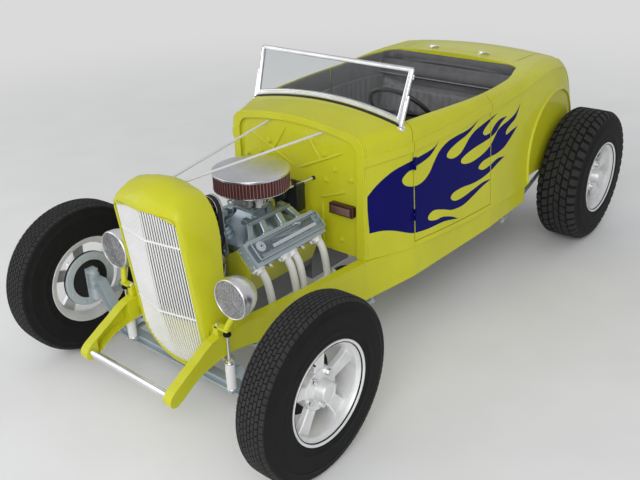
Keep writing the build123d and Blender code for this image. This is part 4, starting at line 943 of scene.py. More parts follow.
def make_tyre(end, side_name, side, radius, out, width):
    """A tyre with stepped walls and separate tread blocks."""
    front = end == "front"
    half = width / 2
    place = frame_at(at(side * (out - half), 0 if front else WHEELBASE, radius), (0, side, 0), (0, 0, 1))
    shape = Shape("%s_tyre_%s_rubber" % (end, side_name)).use(RUBBER_WITH_PAINTED_SHADE)
    flat = 0.046 if front else 0.088
    depth = 0.0065 if front else 0.010
    wall = [(half - 0.0056, 0.2046), (half - 0.0056, 0.2235), (half - 0.0026, 0.229),
            (half - 0.0026, 0.233), (half - 0.004, 0.2355), (half - 0.0016, 0.252),
            (half - 0.0006, 0.253), (half - 0.0004, 0.257), (half - 0.0012, 0.2585),
            (half - 0.0002, 0.285), (half - 0.001, 0.305), (half - 0.0035, 0.324),
            (half - 0.0022, 0.3255), (half - 0.003, 0.329), (half - 0.005, 0.331)]
    crown = [(t, tread_radius(radius, flat, t) - depth + 0.0005)
             for t in spread(half - 0.012, 0.012 - half, 15)]
    wall.append((half - 0.0085, (wall[-1][1] + crown[0][1]) / 2))
    profile = wall + crown + [(-t, r) for t, r in reversed(wall)]
    shape.lathe(place, profile, 96, closed=True)
    # The blocks take the lighter tread rubber; the grooves between them show the darker rubber, which stands
    # in as painted shade.
    shape.use(TREAD_RUBBER_WITH_PAINTED_LIGHT)
    around = 84 if front else 44
    step = math.tau / around
    if front:
        for column in range(8):
            t = -0.0615 + column * 0.0164
            stations = [t, t + 0.0012, t + 0.007, t + 0.0122]
            if column in (0, 7):
                stations = [t + 0.001 * (column - 7) / 7, t + 0.0012, t + 0.007, t + 0.0122]
            lean = (0.16 if column % 2 else -0.16) * step
            for turn in range(around):
                near = (turn + 0.07 + 0.5 * (column % 2)) * step
                tread_block(shape, place, radius, flat, depth, stations, near, near + 0.86 * step, lean)
    else:
        # columns: lateral edges of a block, share of the pitch it fills, phase, lean
        rows = [(0.003, 0.030, 0.82, 0.00, 0.34), (0.040, 0.072, 0.78, 0.45, 0.30),
                (0.082, 0.119, 0.64, 0.20, 0.12)]
        for mirror in (1, -1):
            for low, high, fill, phase, lean in rows:
                stations = [low, low + 0.0014, *spread(low + 0.008, high - 0.008, 3), high - 0.0014, high]
                if mirror < 0:
                    stations = [-t for t in reversed(stations)]
                for turn in range(around):
                    near = (turn + phase + (0.5 if mirror < 0 else 0)) * step
                    tread_block(shape, place, radius, flat, depth, stations, near, near + fill * step,
                                mirror * lean * step)
    shape.done("%s_wheel_%s" % (end, side_name), ("%s_tyre_%s" % (end, side_name),), sharp=32)


def make_wheel(end, side_name, side, radius, out, width, dish, hub_reach):
    """A cast wheel: rim, hub barrel, five spokes, five nuts and a valve."""
    back = 0 if end == "front" else WHEELBASE
    place = frame_at(at(0, back, radius), (0, side, 0), (0, 0, 1))
    inside = out - width
    shape = Shape("%s_wheel_%s_alloy" % (end, side_name)).use(ALLOY)
    deep = out - dish - 0.030
    rim = [(out - 0.006, 0.2195), (out - 0.0015, 0.2192), (out - 0.0001, 0.2175), (out - 0.0006, 0.2145),
           (out - 0.004, 0.2095), (out - 0.015, 0.201), (out - 0.026, 0.1945), (out - 0.0275, 0.1918),
           (out - 0.033, 0.1905), (deep, 0.188), (deep - 0.02, 0.180), (inside + 0.040, 0.180),
           (inside + 0.026, 0.190), (inside + 0.008, 0.1925), (inside + 0.002, 0.212),
           (inside + 0.0002, 0.216), (inside + 0.0012, 0.219), (inside + 0.0045, 0.2195),
           (inside + 0.0065, 0.205), (inside + 0.030, 0.2036), (out - 0.030, 0.2036),
           (out - 0.0065, 0.205)]
    shape.lathe(place, rim, 96, closed=True)
    face = out - dish
    hub = [(out - hub_reach, 0.0186), (out - hub_reach, 0.085), (out - hub_reach + 0.006, 0.0905),
           (face - 0.010, 0.0918), (face + 0.001, 0.0905), (face + 0.0038, 0.087), (face + 0.0042, 0.055),
           (face + 0.007, 0.0475), (face + 0.012, 0.0455), (out - 0.014, 0.0415), (out - 0.0085, 0.0395),
           (out - 0.0062, 0.035), (out - 0.0062, 0.031), (out - 0.0085, 0.029), (out - 0.008, 0.012),
           (out - 0.0064, 0.008), (out - 0.0062, 0.0), (face - 0.0235, 0.0), (face - 0.0235, 0.0186)]
    shape.lathe(place, hub, 60, closed=True)
    for turn in range(5):
        angle = math.radians(90 + 72 * turn)
        radial = Vector((math.cos(angle), math.sin(angle), 0))
        tangent = Vector((-math.sin(angle), math.cos(angle), 0))
        rings = []
        for r, half, rise, drop in ((0.060, 0.031, 0.000, 0.0235), (0.095, 0.0285, 0.001, 0.0235),
                                    (0.130, 0.029, 0.003, 0.0225), (0.165, 0.0325, 0.0045, 0.0225),
                                    (0.1885, 0.0365, 0.005, 0.0235)):
            section = [(-half, -drop), (half, -drop), (half, rise - 0.005), (half - 0.0045, rise),
                       (half * 0.45, rise - 0.0006), (0, rise - 0.0022), (-half * 0.45, rise - 0.0006),
                       (-half + 0.0045, rise), (-half, rise - 0.005)]
            rings.append([place @ (radial * r + tangent * w + Vector((0, 0, face + h)))
                          for w, h in section])
        shape.rings(rings)
        nut_angle = math.radians(90 + 72 * (turn + 0.5))
        seat = place @ Vector((0.072 * math.cos(nut_angle), 0.072 * math.sin(nut_angle), face))
        nut = frame_at(seat, place.to_3x3() @ Vector((1, 0, 0)), place.to_3x3() @ Vector((0, 1, 0)))
        shape.use(CHROME)
        shape.lathe(nut, [(0.002, 0.0165), (0.006, 0.0165), (0.0075, 0.0145)], 24)
        shape.lathe(nut, [(0.006, 0.0138), (0.0165, 0.0138), (0.0195, 0.0108), (0.0195, 0.0068)], 6)
        shape.lathe(nut, [(0.010, 0.0062), (0.0188, 0.0062), (0.0199, 0.0048)], 14)
        shape.use(ALLOY)
    foot = place @ Vector((0.194 * math.cos(2.0), 0.194 * math.sin(2.0), out - 0.030))
    tip = place @ Vector((0.176 * math.cos(2.0), 0.176 * math.sin(2.0), out - 0.012))
    shape.use(BLACK).tube([foot, foot.lerp(tip, 0.7), foot.lerp(tip, 0.72), tip],
                          [0.0042, 0.0036, 0.0046, 0.004], 10)
    shape.done("%s_wheel_%s" % (end, side_name), ("%s_wheel_%s" % (end, side_name),), sharp=35)


# columns: end, radius, outer face, width, how deep the spokes lie, reach of the hub
WHEELS = (("front", FRONT_RADIUS, 0.838, 0.160, 0.055, 0.112),
          ("rear", REAR_RADIUS, 0.828, 0.261, 0.060, 0.200))
for side_name, side in SIDES:
    for end, radius, out, width, dish, hub_reach in WHEELS:
        make_tyre(end, side_name, side, radius, out, width)
    for end, radius, out, width, dish, hub_reach in WHEELS:
        make_wheel(end, side_name, side, radius, out, width, dish, hub_reach)


# Radiator shell and grille
# columns: back at the top, back at the foot, half width, corner height, corner inset, crown
SHELL_ROWS = [
    (-0.137, -0.052, 0.200, 0.950, 0.038, 1.004), (-0.128, -0.050, 0.209, 0.948, 0.054, 1.026),
    (-0.115, -0.048, 0.216, 0.936, 0.072, 1.044), (-0.095, -0.044, 0.222, 0.918, 0.094, 1.062),
    (-0.062, -0.036, 0.228, 0.892, 0.110, 1.079), (-0.030, -0.030, 0.232, 0.870, 0.124, 1.087),
    (0.012, 0.012, 0.234, 0.858, 0.126, 1.077), (0.052, 0.052, 0.234, 0.845, 0.126, 1.059),
]
SHELL_LOW = 0.401
OPENING_HALF = 0.189
OPENING_DEEP = OPENING_HALF - 0.017
OPENING_CORNER = 0.030
OPENING_TOP = 0.954
BAR_COUNT = 28
BAR_HALF = 0.0027
LEVEL_BAR = 0.008
LEVEL_BAR_HEIGHTS = (0.500, 0.846)
FRONT_TOP_BACK = -0.137
FRONT_LOW_BACK = -0.052
LEAN_TOP = 0.974
LEAN_RUN = LEAN_TOP - 0.237
BAR_WHITE = painted("grille_bright", (0.90, 0.90, 0.90), 0.35, 0.2, 0)
# columns: height, back of the bars' front on the centre line, back of it at the sides
PROW_ROWS = [(0.225, -0.052, -0.050), (0.330, -0.084, -0.062), (0.509, -0.121, -0.080),
             (1.000, -0.161, -0.134)]


def prow_back(x, z):
    """Back of the grille's front at a place in the opening."""
    share = min(1.0, abs(x) / OPENING_HALF)
    centre = smooth_at(PROW_ROWS, z, 1)
    return centre + (smooth_at(PROW_ROWS, z, 2) - centre) * share


def prow_push(x, z):
    """How far the middle of the shell's front edge stands out at a place, above the foot."""
    push = smooth_at(PROW_ROWS, z, 2) - smooth_at(PROW_ROWS, z, 1)
    return push * max(0.0, 1 - abs(x) / OPENING_HALF) * (z > 0.6)


def opening_reach(z):
    """Half width of the grille's opening at a height."""
    if z >= SHELL_LOW:
        return OPENING_HALF
    return OPENING_HALF * math.sqrt(1 - ((SHELL_LOW - z) / OPENING_DEEP) ** 2)


def shell_line(half, corner_z, corner_inset, crown, low_drop, top_z):
    """X and Z round a shell outline: bottom arc, sides, corners and crown, always as many points."""
    points = arc(0, SHELL_LOW, half, half - 0.013 - low_drop, -180, 0, 33)
    points += [(half, z) for z in spread(SHELL_LOW, corner_z, 14)[1:]]
    reach = half - corner_inset
    points += arc(reach, corner_z, corner_inset, top_z - corner_z, 0, 90, 9)[1:]
    right = points[33:]
    top = [(x, top_z + (crown - top_z) * (1 - (x / reach) ** 2)) for x in spread(reach, -reach, 17)[1:-1]]
    return points + top + [(-x, z) for x, z in reversed(right)]


def shell_ring(row, pull, vee):
    """One closed ring of the shell, leaning as its row says, with its front edge drawn to a vee."""
    top_back, low_back, half, corner_z, corner_inset, crown = row
    lean = (top_back - low_back) / LEAN_RUN
    upright_share = 1 / math.sqrt(1 + lean * lean)
    half -= pull
    crown -= pull
    line = shell_line(half, corner_z - pull, corner_inset, crown, 0, crown - (half - corner_inset) * 0.16)
    ring = []
    for x, z in line:
        z *= upright_share
        ring.append(at(x, top_back + lean * (z - LEAN_TOP) - vee * prow_push(x, z), z))
    return ring


def opening_ring(pull, depth):
    """One closed ring of the opening's edge."""
    line = shell_line(OPENING_HALF - pull, OPENING_TOP - pull, OPENING_CORNER, 0.988 - pull, 0.004,
                      0.980 - pull)
    lean = (FRONT_TOP_BACK - FRONT_LOW_BACK) / LEAN_RUN
    return [at(x, FRONT_TOP_BACK + lean * (z - LEAN_TOP) + depth - prow_push(x, z), z) for x, z in line]


def make_shell():
    """The painted shell, notched over the frame, and the thin apron behind the bars' feet."""
    shape = Shape("radiator_shell_paint").use(YELLOW)
    rings = [opening_ring(-0.001, 0.014), opening_ring(0.0, 0.003), opening_ring(-0.0015, 0.0)]
    first = SHELL_ROWS[0]
    rings.append(shell_ring(first, 0.004, 0.98))
    rings.append(shell_ring((first[0] + 0.004, first[1] + 0.003, *first[2:]), 0.0, 0.9))
    for order, row in enumerate(SHELL_ROWS[1:], 1):
        rings.append(shell_ring(row, 0.0, max(0.0, 1 - order / 5)))
    rings.append(shell_ring(SHELL_ROWS[-1], 0.004, 0))
    for row, pull, vee in ((7, 0.012, 0), (5, 0.012, 0), (3, 0.012, 0), (1, 0.010, 0.6)):
        rings.append(shell_ring(SHELL_ROWS[row], pull, vee))
    shape.rings(rings, loop=True)
    piece = shape.done("chassis", (), 40)
    notches = [brick(-0.3, 0.3, -0.050, 0.1, 0.393, 0.4523), brick(-0.3, 0.3, -0.027, 0.1, 0.1, 0.394)]
    data = carve(piece, [(notch, "DIFFERENCE") for notch in notches])
    discard(piece, *notches)
    stand(bpy.data.objects.new("radiator_shell_skin", data), "chassis", ("radiator_shell",), 34, 0.0015)
    apron = Shape("grille_apron").use(YELLOW)
    rings = []
    for z in spread(0.232, 0.480, 20):
        reach = opening_reach(z) - 0.003
        line = spread(-reach, reach, 25)
        rings.append([at(x, prow_back(x, z) + 0.0095, z) for x in line]
                     + [at(x, prow_back(x, z) + 0.011, z) for x in reversed(line)])
    apron.rings(rings)
    apron.done("chassis")


def make_grille():
    """Upright bars that follow the prow from the bottom arc to the crown, and two level bars."""
    shape = Shape("grille_bars").use(BAR_WHITE)
    reach = OPENING_HALF - 0.001
    half = BAR_HALF
    section = ((-half * 0.55, 0.0), (half * 0.55, 0.0), (half, 0.0015), (half, 0.005),
               (half * 0.5, 0.0065), (-half * 0.5, 0.0065), (-half, 0.005), (-half, 0.0015))
    for order in range(BAR_COUNT):
        x = (order + 0.5) * 2 * reach / BAR_COUNT - reach
        arch = max(0.0, 1 - (x / OPENING_HALF) ** 2)
        low = SHELL_LOW - OPENING_DEEP * math.sqrt(arch) + 0.0015
        edge = OPENING_HALF - abs(x)
        high = 0.984 + 0.003 * arch
        if edge < OPENING_CORNER:
            share = (OPENING_CORNER - edge) / OPENING_CORNER
            high = OPENING_TOP + 0.028 * math.sqrt(max(0.0, 1 - share ** 2))
        shape.rings([[at(x + u, prow_back(x, z) + v, z) for u, v in section]
                     for z in spread(low, high - 0.002, 16)])
    section = ((0.0, 0.001), (-0.001, LEVEL_BAR / 2), (0.0, LEVEL_BAR - 0.001), (0.006, LEVEL_BAR),
               (0.006, 0.0))
    for z in LEVEL_BAR_HEIGHTS:
        rings = []
        for x in spread(-reach, reach, 31):
            point = at(x, prow_back(x, z) - 0.001, z)
            rings.append([point + Vector((0, v, w)) for v, w in section])
        shape.rings(rings)
    shape.done("chassis", ("grille",), 40)


make_shell()
make_grille()


# Headlights, on stands in line with the front shocks
LAMP_X = 0.372
LAMP_BACK = -0.055
LAMP_Z = 0.656
STAND_BACK = -0.048


def lens_finish():
    """Fluted glass: fine waves over a mottled grey."""
    lens = Finish("lamp_lens", (0.30, 0.30, 0.31), 0.22)
    flutes = lens.tree.nodes.new("ShaderNodeTexWave")
    flutes.inputs["Scale"].default_value = 70
    flutes.inputs["Distortion"].default_value = 1.6
    flutes.inputs["Detail"].default_value = 3
    lens.tree.links.new(lens.coords.outputs["Object"], flutes.inputs["Vector"])
    lens.colour_from(lens.ramp(lens.noise(150, 5, (1.6, 1.0, 0.55)), (0.07, 0.07, 0.075),
                               (0.34, 0.34, 0.36), 0.3, 0.7))
    lens.bump(flutes.outputs["Fac"], 0.5, 0.002)
    lens.set("Coat Weight", 0.9)
    lens.set("Coat Roughness", 0.04)
    return lens.material


def make_headlights():
    """Two bowls with rolled rims on curved stalks, each bolted to its bracket."""
    lens = lens_finish()
    satin = metal("lamp_satin", (0.86, 0.86, 0.87), 0.34, 0.0015)
    for side_name, side in SIDES:
        shape = Shape("headlight_%s_lamp" % side_name).use(satin)
        place = frame_at(at(side * LAMP_X, LAMP_BACK, LAMP_Z), (1, 0, 0), (0, 0, -1))
        bowl = [(0.012, 0.086), (0.024, 0.0886), (0.040, 0.0882), (0.058, 0.0838), (0.076, 0.0755),
                (0.094, 0.063), (0.108, 0.049), (0.119, 0.033), (0.126, 0.018), (0.1292, 0.008),
                (0.1296, 0.0)]
        shape.lathe(place, bowl + [(0.012, 0.0)], 64, closed=True)
        shape.lathe(place, [(0.016, 0.085), (0.016, 0.0885), (0.0125, 0.0898), (0.006, 0.0895),
                            (0.0012, 0.0875), (-0.0005, 0.085), (0.001, 0.083), (0.005, 0.0825),
                            (0.012, 0.0835)], 64, closed=True)
        shape.use(lens)
        dome = [(-0.0072 + 0.0105 * (r / 0.084) ** 2, r) for r in spread(0.084, 0.0, 9)]
        shape.lathe(place, dome + [(0.006, 0.0), (0.006, 0.084)], 64, closed=True)
        shape.use(YELLOW).tube([at(side * x, back, z) for x, back, z in (
            (0.332, -0.048, 0.500), (0.338, -0.044, 0.520), (0.350, -0.032, 0.548),
            (0.360, -0.018, 0.572))],
            [0.014, 0.0135, 0.0135, 0.016], 18)
        shape.use(CHROME)
        cup = upright(side * 0.361, -0.016, 0.562)
        shape.lathe(cup, [(-0.004, 0.016), (0.000, 0.022), (0.008, 0.024), (0.014, 0.020)], 24)
        shape.use(YELLOW)
        foot = upright(side * 0.279, STAND_BACK, 0.4573)
        shape.slab(foot, box_outline(0.0148, 0.0168, 0.003), 0, 0.049, 0.0015)
        arm = upright(side * 0.306, STAND_BACK, 0.4953)
        shape.slab(arm, box_outline(0.0415, 0.0168, 0.008), 0, 0.0115, 0.0015)
        shape.use(CHROME)
        for x in (0.279, 0.332):
            nut = upright(side * x, STAND_BACK, 0.5065)
            shape.lathe(nut, [(0, 0.0105), (0.002, 0.0105), (0.002, 0.008), (0.008, 0.008),
                              (0.0095, 0.006)], 6)
        shape.done("chassis", ("headlight_%s" % side_name,), 40)


make_headlights()


# Engine
ENGINE_FRONT, ENGINE_REAR = 0.240, 0.712
CRANK_Z = 0.474
CARB_BACK = 0.482
PORT_BACKS = (0.260, 0.424, 0.478, 0.652)
ROOT_HALF = math.sqrt(0.5)
COVER_FIELD = painted("cover_field", (0.045, 0.085, 0.115), 0.3, 0.6, 0)
COVER_SIDE = painted("cover_side", (0.16, 0.21, 0.25), 0.35, 0.5, 0)
RIB_PALE = painted("rib_pale", (0.50, 0.53, 0.57), 0.35, 0.4, 0)
# Lighter brown for the outer crest of each filter fold: a painted highlight on the paper, whose own colour
# is the maroon.
FOLD_CREST_HIGHLIGHT = plain_stuff("filter_fold_painted_highlight", (0.24, 0.15, 0.145), 0.7, 600, 0.2, 0)
LID_BLUE = painted("cover_lid_blue", (0.24, 0.30, 0.34), 0.45, 0.1, 0)
LID_METAL = metal("cleaner_lid", (0.70, 0.70, 0.73), 0.30, 0)
BRASS = metal("brass", (0.62, 0.50, 0.22), 0.3, 0)
CARB_METAL = metal("carburettor_metal", (0.34, 0.36, 0.36), 0.38, 0.001, brushed=0.2)
BELT_RUBBER = plain_stuff("belt_rubber", (0.012, 0.012, 0.013), 0.6, 500, 0.2, 0)


def bolt(shape, place, radius, height):
    """A hexagon head on a washer, with a chamfered crown."""
    shape.lathe(place, [(-0.0005, radius * 1.45), (0.001, radius * 1.45), (0.0012, radius * 1.3)], 14)
    shape.lathe(place, [(0.0005, radius), (height * 0.8, radius), (height, radius * 0.82)], 6)


def bank(side, along, back, out):
    """A point on a cylinder bank: along its axis, back along the car, and outwards across it."""
    return at(side * (along + out) * ROOT_HALF, back, CRANK_Z + (along - out) * ROOT_HALF)


def bank_spot(side, along, back, out):
    """A place on a cylinder bank that faces up along its axis."""
    return spot(bank(side, along, back, out), (side, 0, 1), (0, 1, 0))


def bank_block(shape, side, outline, levels):
    """An outline of (back, out) carried up the bank through (along, inset) levels."""
    shape.rings([[bank(side, along, back, out)
                  for back, out in (inset(outline, pull) if pull else outline)]
                 for along, pull in levels])


def shifted(outline, back, out):
    """An outline moved over a bank's face."""
    return [(u + back, v + out) for u, v in outline]


def make_valve_covers():
    """Ribbed covers with a cap at each end, held by a row of bolts."""
    shape = Shape("valve_covers_paint")
    middle = (ENGINE_FRONT + ENGINE_REAR) / 2
    half = (ENGINE_REAR - ENGINE_FRONT) / 2 - 0.014
    for side in (1, -1):
        body = shifted(box_outline(half, 0.0445, 0.010), middle, 0)
        bank_block(shape.use(COVER_SIDE), side, body, [(0.287, 0), (0.315, 0.0004)])
        bank_block(shape.use(HEAD_BLUE), side, body,
                   [(0.3145, 0.0004), (0.319, 0.001), (0.3202, 0.0026), (0.3202, 0.0048),
                    (0.318, 0.0056)])
        field = inset(body, 0.0054)
        bank_block(shape.use(COVER_FIELD), side, field, [(0.312, 0), (0.318, 0)])
        rib = shifted(box_outline(0.145, 0.0088, 0.003), middle + 0.026, 0.0115)
        bank_block(shape.use(RIB_PALE), side, rib, [(0.3175, 0), (0.324, 0.0006), (0.3255, 0.002)])
        for out in (0.0262, 0.031, 0.0358):
            low_rib = shifted(box_outline(half - 0.022, 0.0014, 0.001, 2), middle, out)
            bank_block(shape.use(HEAD_BLUE), side, low_rib, [(0.3175, 0), (0.320, 0.0003)])
        for out in (-0.034, -0.0305):
            top_rib = shifted(box_outline(half - 0.018, 0.0009, 0.0005, 2), middle, out)
            bank_block(shape, side, top_rib, [(0.3175, 0), (0.319, 0.0002)])
        for back, size in ((-0.180, 1.0), (0.190, 0.94)):
            place = bank_spot(side, 0.3175, middle + back, -0.0125)
            place = place @ Matrix.Diagonal((size, size, 1, 1))
            shape.use(LID_BLUE if back > 0 else RIB_PALE)
            shape.lathe(place, [(-0.003, 0.0245), (0.004, 0.0245), (0.0048, 0.0232), (0.0048, 0.0205),
                                (0.0036, 0.020), (0.0036, 0.0165), (0.0056, 0.016), (0.0066, 0.0145),
                                (0.0066, 0.0)], 36)
            shape.use(COVER_FIELD).lathe(place, [(0.006, 0.005), (0.0085, 0.0046)], 20)
            for u, v in circle(6, 0.0112):
                shape.lathe(moved(place, u, v, 0), [(0.006, 0.0014), (0.0072, 0.0013)], 8)
        for back in spread(-0.060, 0.060, 7):
            rib_place = bank_spot(side, 0.3178, middle + back, -0.0165)
            shape.use(LID_BLUE).slab(rib_place, box_outline(0.0105, 0.0028, 0.0022, 3), -0.001, 0.0035,
                                     0.0012)
        pipe = [bank(side, 0.320, middle + 0.045, -0.030), bank(side, 0.336, middle + 0.046, -0.030),
                bank(side, 0.340, middle + 0.060, -0.026), bank(side, 0.336, middle + 0.076, -0.022),
                bank(side, 0.318, middle + 0.078, -0.021)]
        shape.use(HEAD_BLUE).tube(curve_through(pipe, 5), 0.0045, 12)
        shape.use(CHROME)
        for back in (middle - half + 0.02, middle - 0.08, middle + 0.08, middle + half - 0.02):
            for out in (-0.0452, 0.0452):
                bolt(shape, bank_spot(side, 0.2888, back, out), 0.0036, 0.0042)
    shape.done("chassis", ("valve_covers",), 35)


def make_intake():
    """The cast manifold with its runners, the thermostat housing and the top hose."""
    shape = Shape("intake_manifold_cast").use(MANIFOLD)
    # columns: height, half width, front, rear, corner
    rows = [(0.790, 0.059, 0.411, 0.555, 0.006), (0.780, 0.059, 0.411, 0.555, 0.006),
            (0.7795, 0.052, 0.419, 0.546, 0.010), (0.764, 0.053, 0.412, 0.550, 0.012),
            (0.745, 0.060, 0.390, 0.566, 0.016), (0.725, 0.074, 0.350, 0.596, 0.020),
            (0.708, 0.092, 0.306, 0.634, 0.022), (0.695, 0.108, 0.276, 0.668, 0.022),
            (0.686, 0.116, 0.262, 0.684, 0.020), (0.660, 0.116, 0.262, 0.684, 0.020)]
    rings = []
    for z, half, front, rear, corner in rows:
        rings.append([at(u, (front + rear) / 2 + v, z)
                      for u, v in box_outline(half, (rear - front) / 2, corner, 6)])
    shape.rings(rings)
    for side in (1, -1):
        for order, back in enumerate((0.300, 0.408, 0.528, 0.636)):
            start = (0.356, 0.420, 0.524, 0.590)[order]
            route = [(0.060, start, 0.768), (0.088, start, 0.764), (0.108, (start * 2 + back) / 3, 0.748),
                     (0.128, (start + back * 2) / 3, 0.722), (0.1385, back, 0.7035)]
            rings = []
            for step, (x, y, z) in enumerate(route):
                ahead = Vector(route[min(step + 1, 4)])
                behind = Vector(route[max(step - 1, 0)])
                run = ahead - behind
                up = Vector((-run.z, 0, run.x)).normalized() * 0.013
                grow = 0.0175
                rings.append([at(side * (x + up.x * v), y + u, z + up.z * v)
                              for u, v in ((-grow, -0.8), (-grow * 0.8, -1), (grow * 0.8, -1),
                                           (grow, -0.8), (grow, 0.8), (grow * 0.8, 1), (-grow * 0.8, 1),
                                           (-grow, 0.8))])
            shape.rings(rings)
            place = spot(at(side * 0.139, back, 0.703), (-side, 0, 1), (0, 1, 0))
            shape.slab(place, box_outline(0.025, 0.0165, 0.008), -0.004, 0.006, 0.001)
            for step in (-1, 1):
                bolt(shape, moved(place, step * 0.0205, 0.004, 0.006), 0.0036, 0.0045)
        rail = upright(side * 0.104, 0.472, 0.756)
        shape.slab(rail, box_outline(0.010, 0.138, 0.003), 0.0, 0.019, 0.0015)
        valley = spot(at(side * 0.1262, 0.473, 0.692), (-side, 0, 1), (0, 1, 0))
        shape.slab(valley, box_outline(0.221, 0.014, 0.006), -0.010, 0.0035, 0.001)
    throat = spot(at(0, 0.300, 0.700), (0, -0.25, 1))
    shape.lathe(throat, [(0, 0.034), (0.020, 0.032), (0.024, 0.036), (0.030, 0.036), (0.032, 0.034),
                         (0.034, 0.030), (0.046, 0.027), (0.052, 0.020), (0.053, 0)], 32)
    for x in (-0.028, 0.028):
        bolt(shape, moved(throat, x, 0, 0.032), 0.004, 0.005)
    shape.done("chassis", ("intake_manifold",), 34, 0.0012, 1)
    hose = Shape("top_hose").use(RUBBER_WITH_PAINTED_SHADE)
    path = curve_through([at(0, 0.286, 0.748), at(0.004, 0.262, 0.792), at(0.020, 0.214, 0.842),
                          at(0.050, 0.130, 0.884), at(0.066, 0.068, 0.902), at(0.070, 0.041, 0.905)], 7)
    hose.tube(path, 0.019, 20)
    hose.use(CHROME)
    for start in (2, len(path) - 4):
        hose.tube(path[start:start + 2], 0.0205, 20)
    hose.done("chassis")


def make_carburettor():
    """Body with two bowls, the throttle rod to the firewall and the fuel line."""
    shape = Shape("carburettor_body").use(CARB_METAL)
    level = upright(0, CARB_BACK)
    shape.slab(level, box_outline(0.056, 0.068, 0.012), 0.7898, 0.7925, 0.0005)
    shape.slab(level, box_outline(0.050, 0.064, 0.012), 0.7915, 0.800, 0.0012)
    shape.slab(level, box_outline(0.040, 0.044, 0.008), 0.799, 0.844, 0.0015)
    shape.slab(level, box_outline(0.047, 0.050, 0.012), 0.828, 0.835, 0.001)
    shape.lathe(level, [(0.840, 0.046), (0.846, 0.060), (0.850, 0.0625), (0.874, 0.0625),
                        (0.8748, 0.0615)], 48)
    for end in (-1, 1):
        bowl = upright(0, CARB_BACK + end * 0.060)
        shape.slab(bowl, box_outline(0.050, 0.0215, 0.008), 0.804, 0.844, 0.003)
        face = spot(at(0, CARB_BACK + end * 0.0815, 0.824), (0, end, 0), (1, 0, 0))
        shape.slab(face, box_outline(0.043, 0.015, 0.006), -0.002, 0.0025, 0.001)
        for x in (-0.044, 0.044):
            for z in (-0.0125, 0.0125):
                bolt(shape, moved(face, x, z, -0.002), 0.0033, 0.006)
        shape.use(BRASS).lathe(moved(face, 0.024, 0, 0.002), [(0, 0.0048), (0.004, 0.0044)], 6)
        shape.use(CARB_METAL)
    shape.use(PALE)
    solenoid = upright(0.064, 0.452)
    shape.lathe(solenoid, [(0.800, 0.0125), (0.8015, 0.014), (0.825, 0.014), (0.8262, 0.0155),
                           (0.830, 0.0155), (0.8315, 0.014), (0.856, 0.0138), (0.858, 0.012),
                           (0.8585, 0.006)], 28)
    shape.use(CARB_METAL)
    stay = upright(0.046, 0.452)
    shape.slab(stay, box_outline(0.016, 0.005, 0.002), 0.806, 0.812, 0.0008)
    shape.use(CHROME)
    for back, low, high, radius in ((0.486, 0.800, 0.858, 0.0062), (0.506, 0.803, 0.850, 0.0045),
                                    (0.528, 0.800, 0.846, 0.004)):
        shape.tube([at(0.052, back, low), at(0.056, back, (low + high) / 2), at(0.051, back, high)],
                   radius, 12)
    shape.tube([at(0.056, 0.486, 0.842), at(0.060, 0.497, 0.836), at(0.056, 0.506, 0.822)], 0.0036, 10)
    shape.tube([at(0.056, 0.506, 0.842), at(0.060, 0.517, 0.824), at(0.056, 0.528, 0.812)], 0.0032, 10)
    for x in (-0.050, 0.050):
        shape.tube([at(x, 0.470, 0.804), at(x * 1.12, 0.478, 0.797), at(x * 1.14, 0.520, 0.797)], 0.003,
                   10)
    lever = spot(at(0.052, 0.534, 0.806), (1, 0, 0), (0, 1, 0))
    shape.slab(lever, [(-0.006, -0.006), (0.006, -0.006), (0.022, 0.018), (0.018, 0.026), (0.010, 0.024)],
               0.0, 0.0035, 0.0004)
    # throttle rod from the lever to the firewall
    joint = at(0.060, 0.552, 0.827)
    wall_end = at(0.105, WALL - 0.0055, 0.844)
    shape.use(PALE).tube([joint, joint.lerp(wall_end, 0.5) + Vector((0, 0, 0.0005)), wall_end], 0.005, 12)
    shape.lathe(spot(joint - Vector((0.006, 0, 0)), (1, 0, 0)),
                [(-0.003, 0.004), (0, 0.0062), (0.008, 0.0062), (0.010, 0.004)], 16)
    boot = spot(wall_end, joint - wall_end)
    shape.use(BLACK).lathe(boot, [(-0.006, 0.010), (0.002, 0.0095), (0.005, 0.0075), (0.0055, 0.0045)],
                           20)
    # fuel line along the right of the carburettor to both bowls
    shape.use(CHROME)
    line = curve_through([at(-0.044, 0.412, 0.836), at(-0.072, 0.404, 0.842), at(-0.078, 0.440, 0.848),
                          at(-0.078, 0.520, 0.848), at(-0.072, 0.556, 0.842), at(-0.044, 0.550, 0.836)],
                         6)
    shape.tube(line, 0.0042, 12)
    feed = [at(-0.078, 0.480, 0.848), at(-0.100, 0.500, 0.820), at(-0.120, 0.560, 0.772),
            at(-0.124, 0.640, 0.742), at(-0.126, 0.700, 0.736), at(-0.128, WALL - 0.006, 0.736)]
    shape.tube(curve_through(feed, 6), 0.0042, 12)
    for x, back in ((-0.046, 0.411), (-0.046, 0.551)):
        shape.use(BRASS).lathe(spot(at(x, back, 0.836), (-1, 0, 0)), [(-0.004, 0.0075), (0.010, 0.0075),
                                                                      (0.012, 0.0055)], 6)
    shape.done("chassis", ("carburettor",), 34)


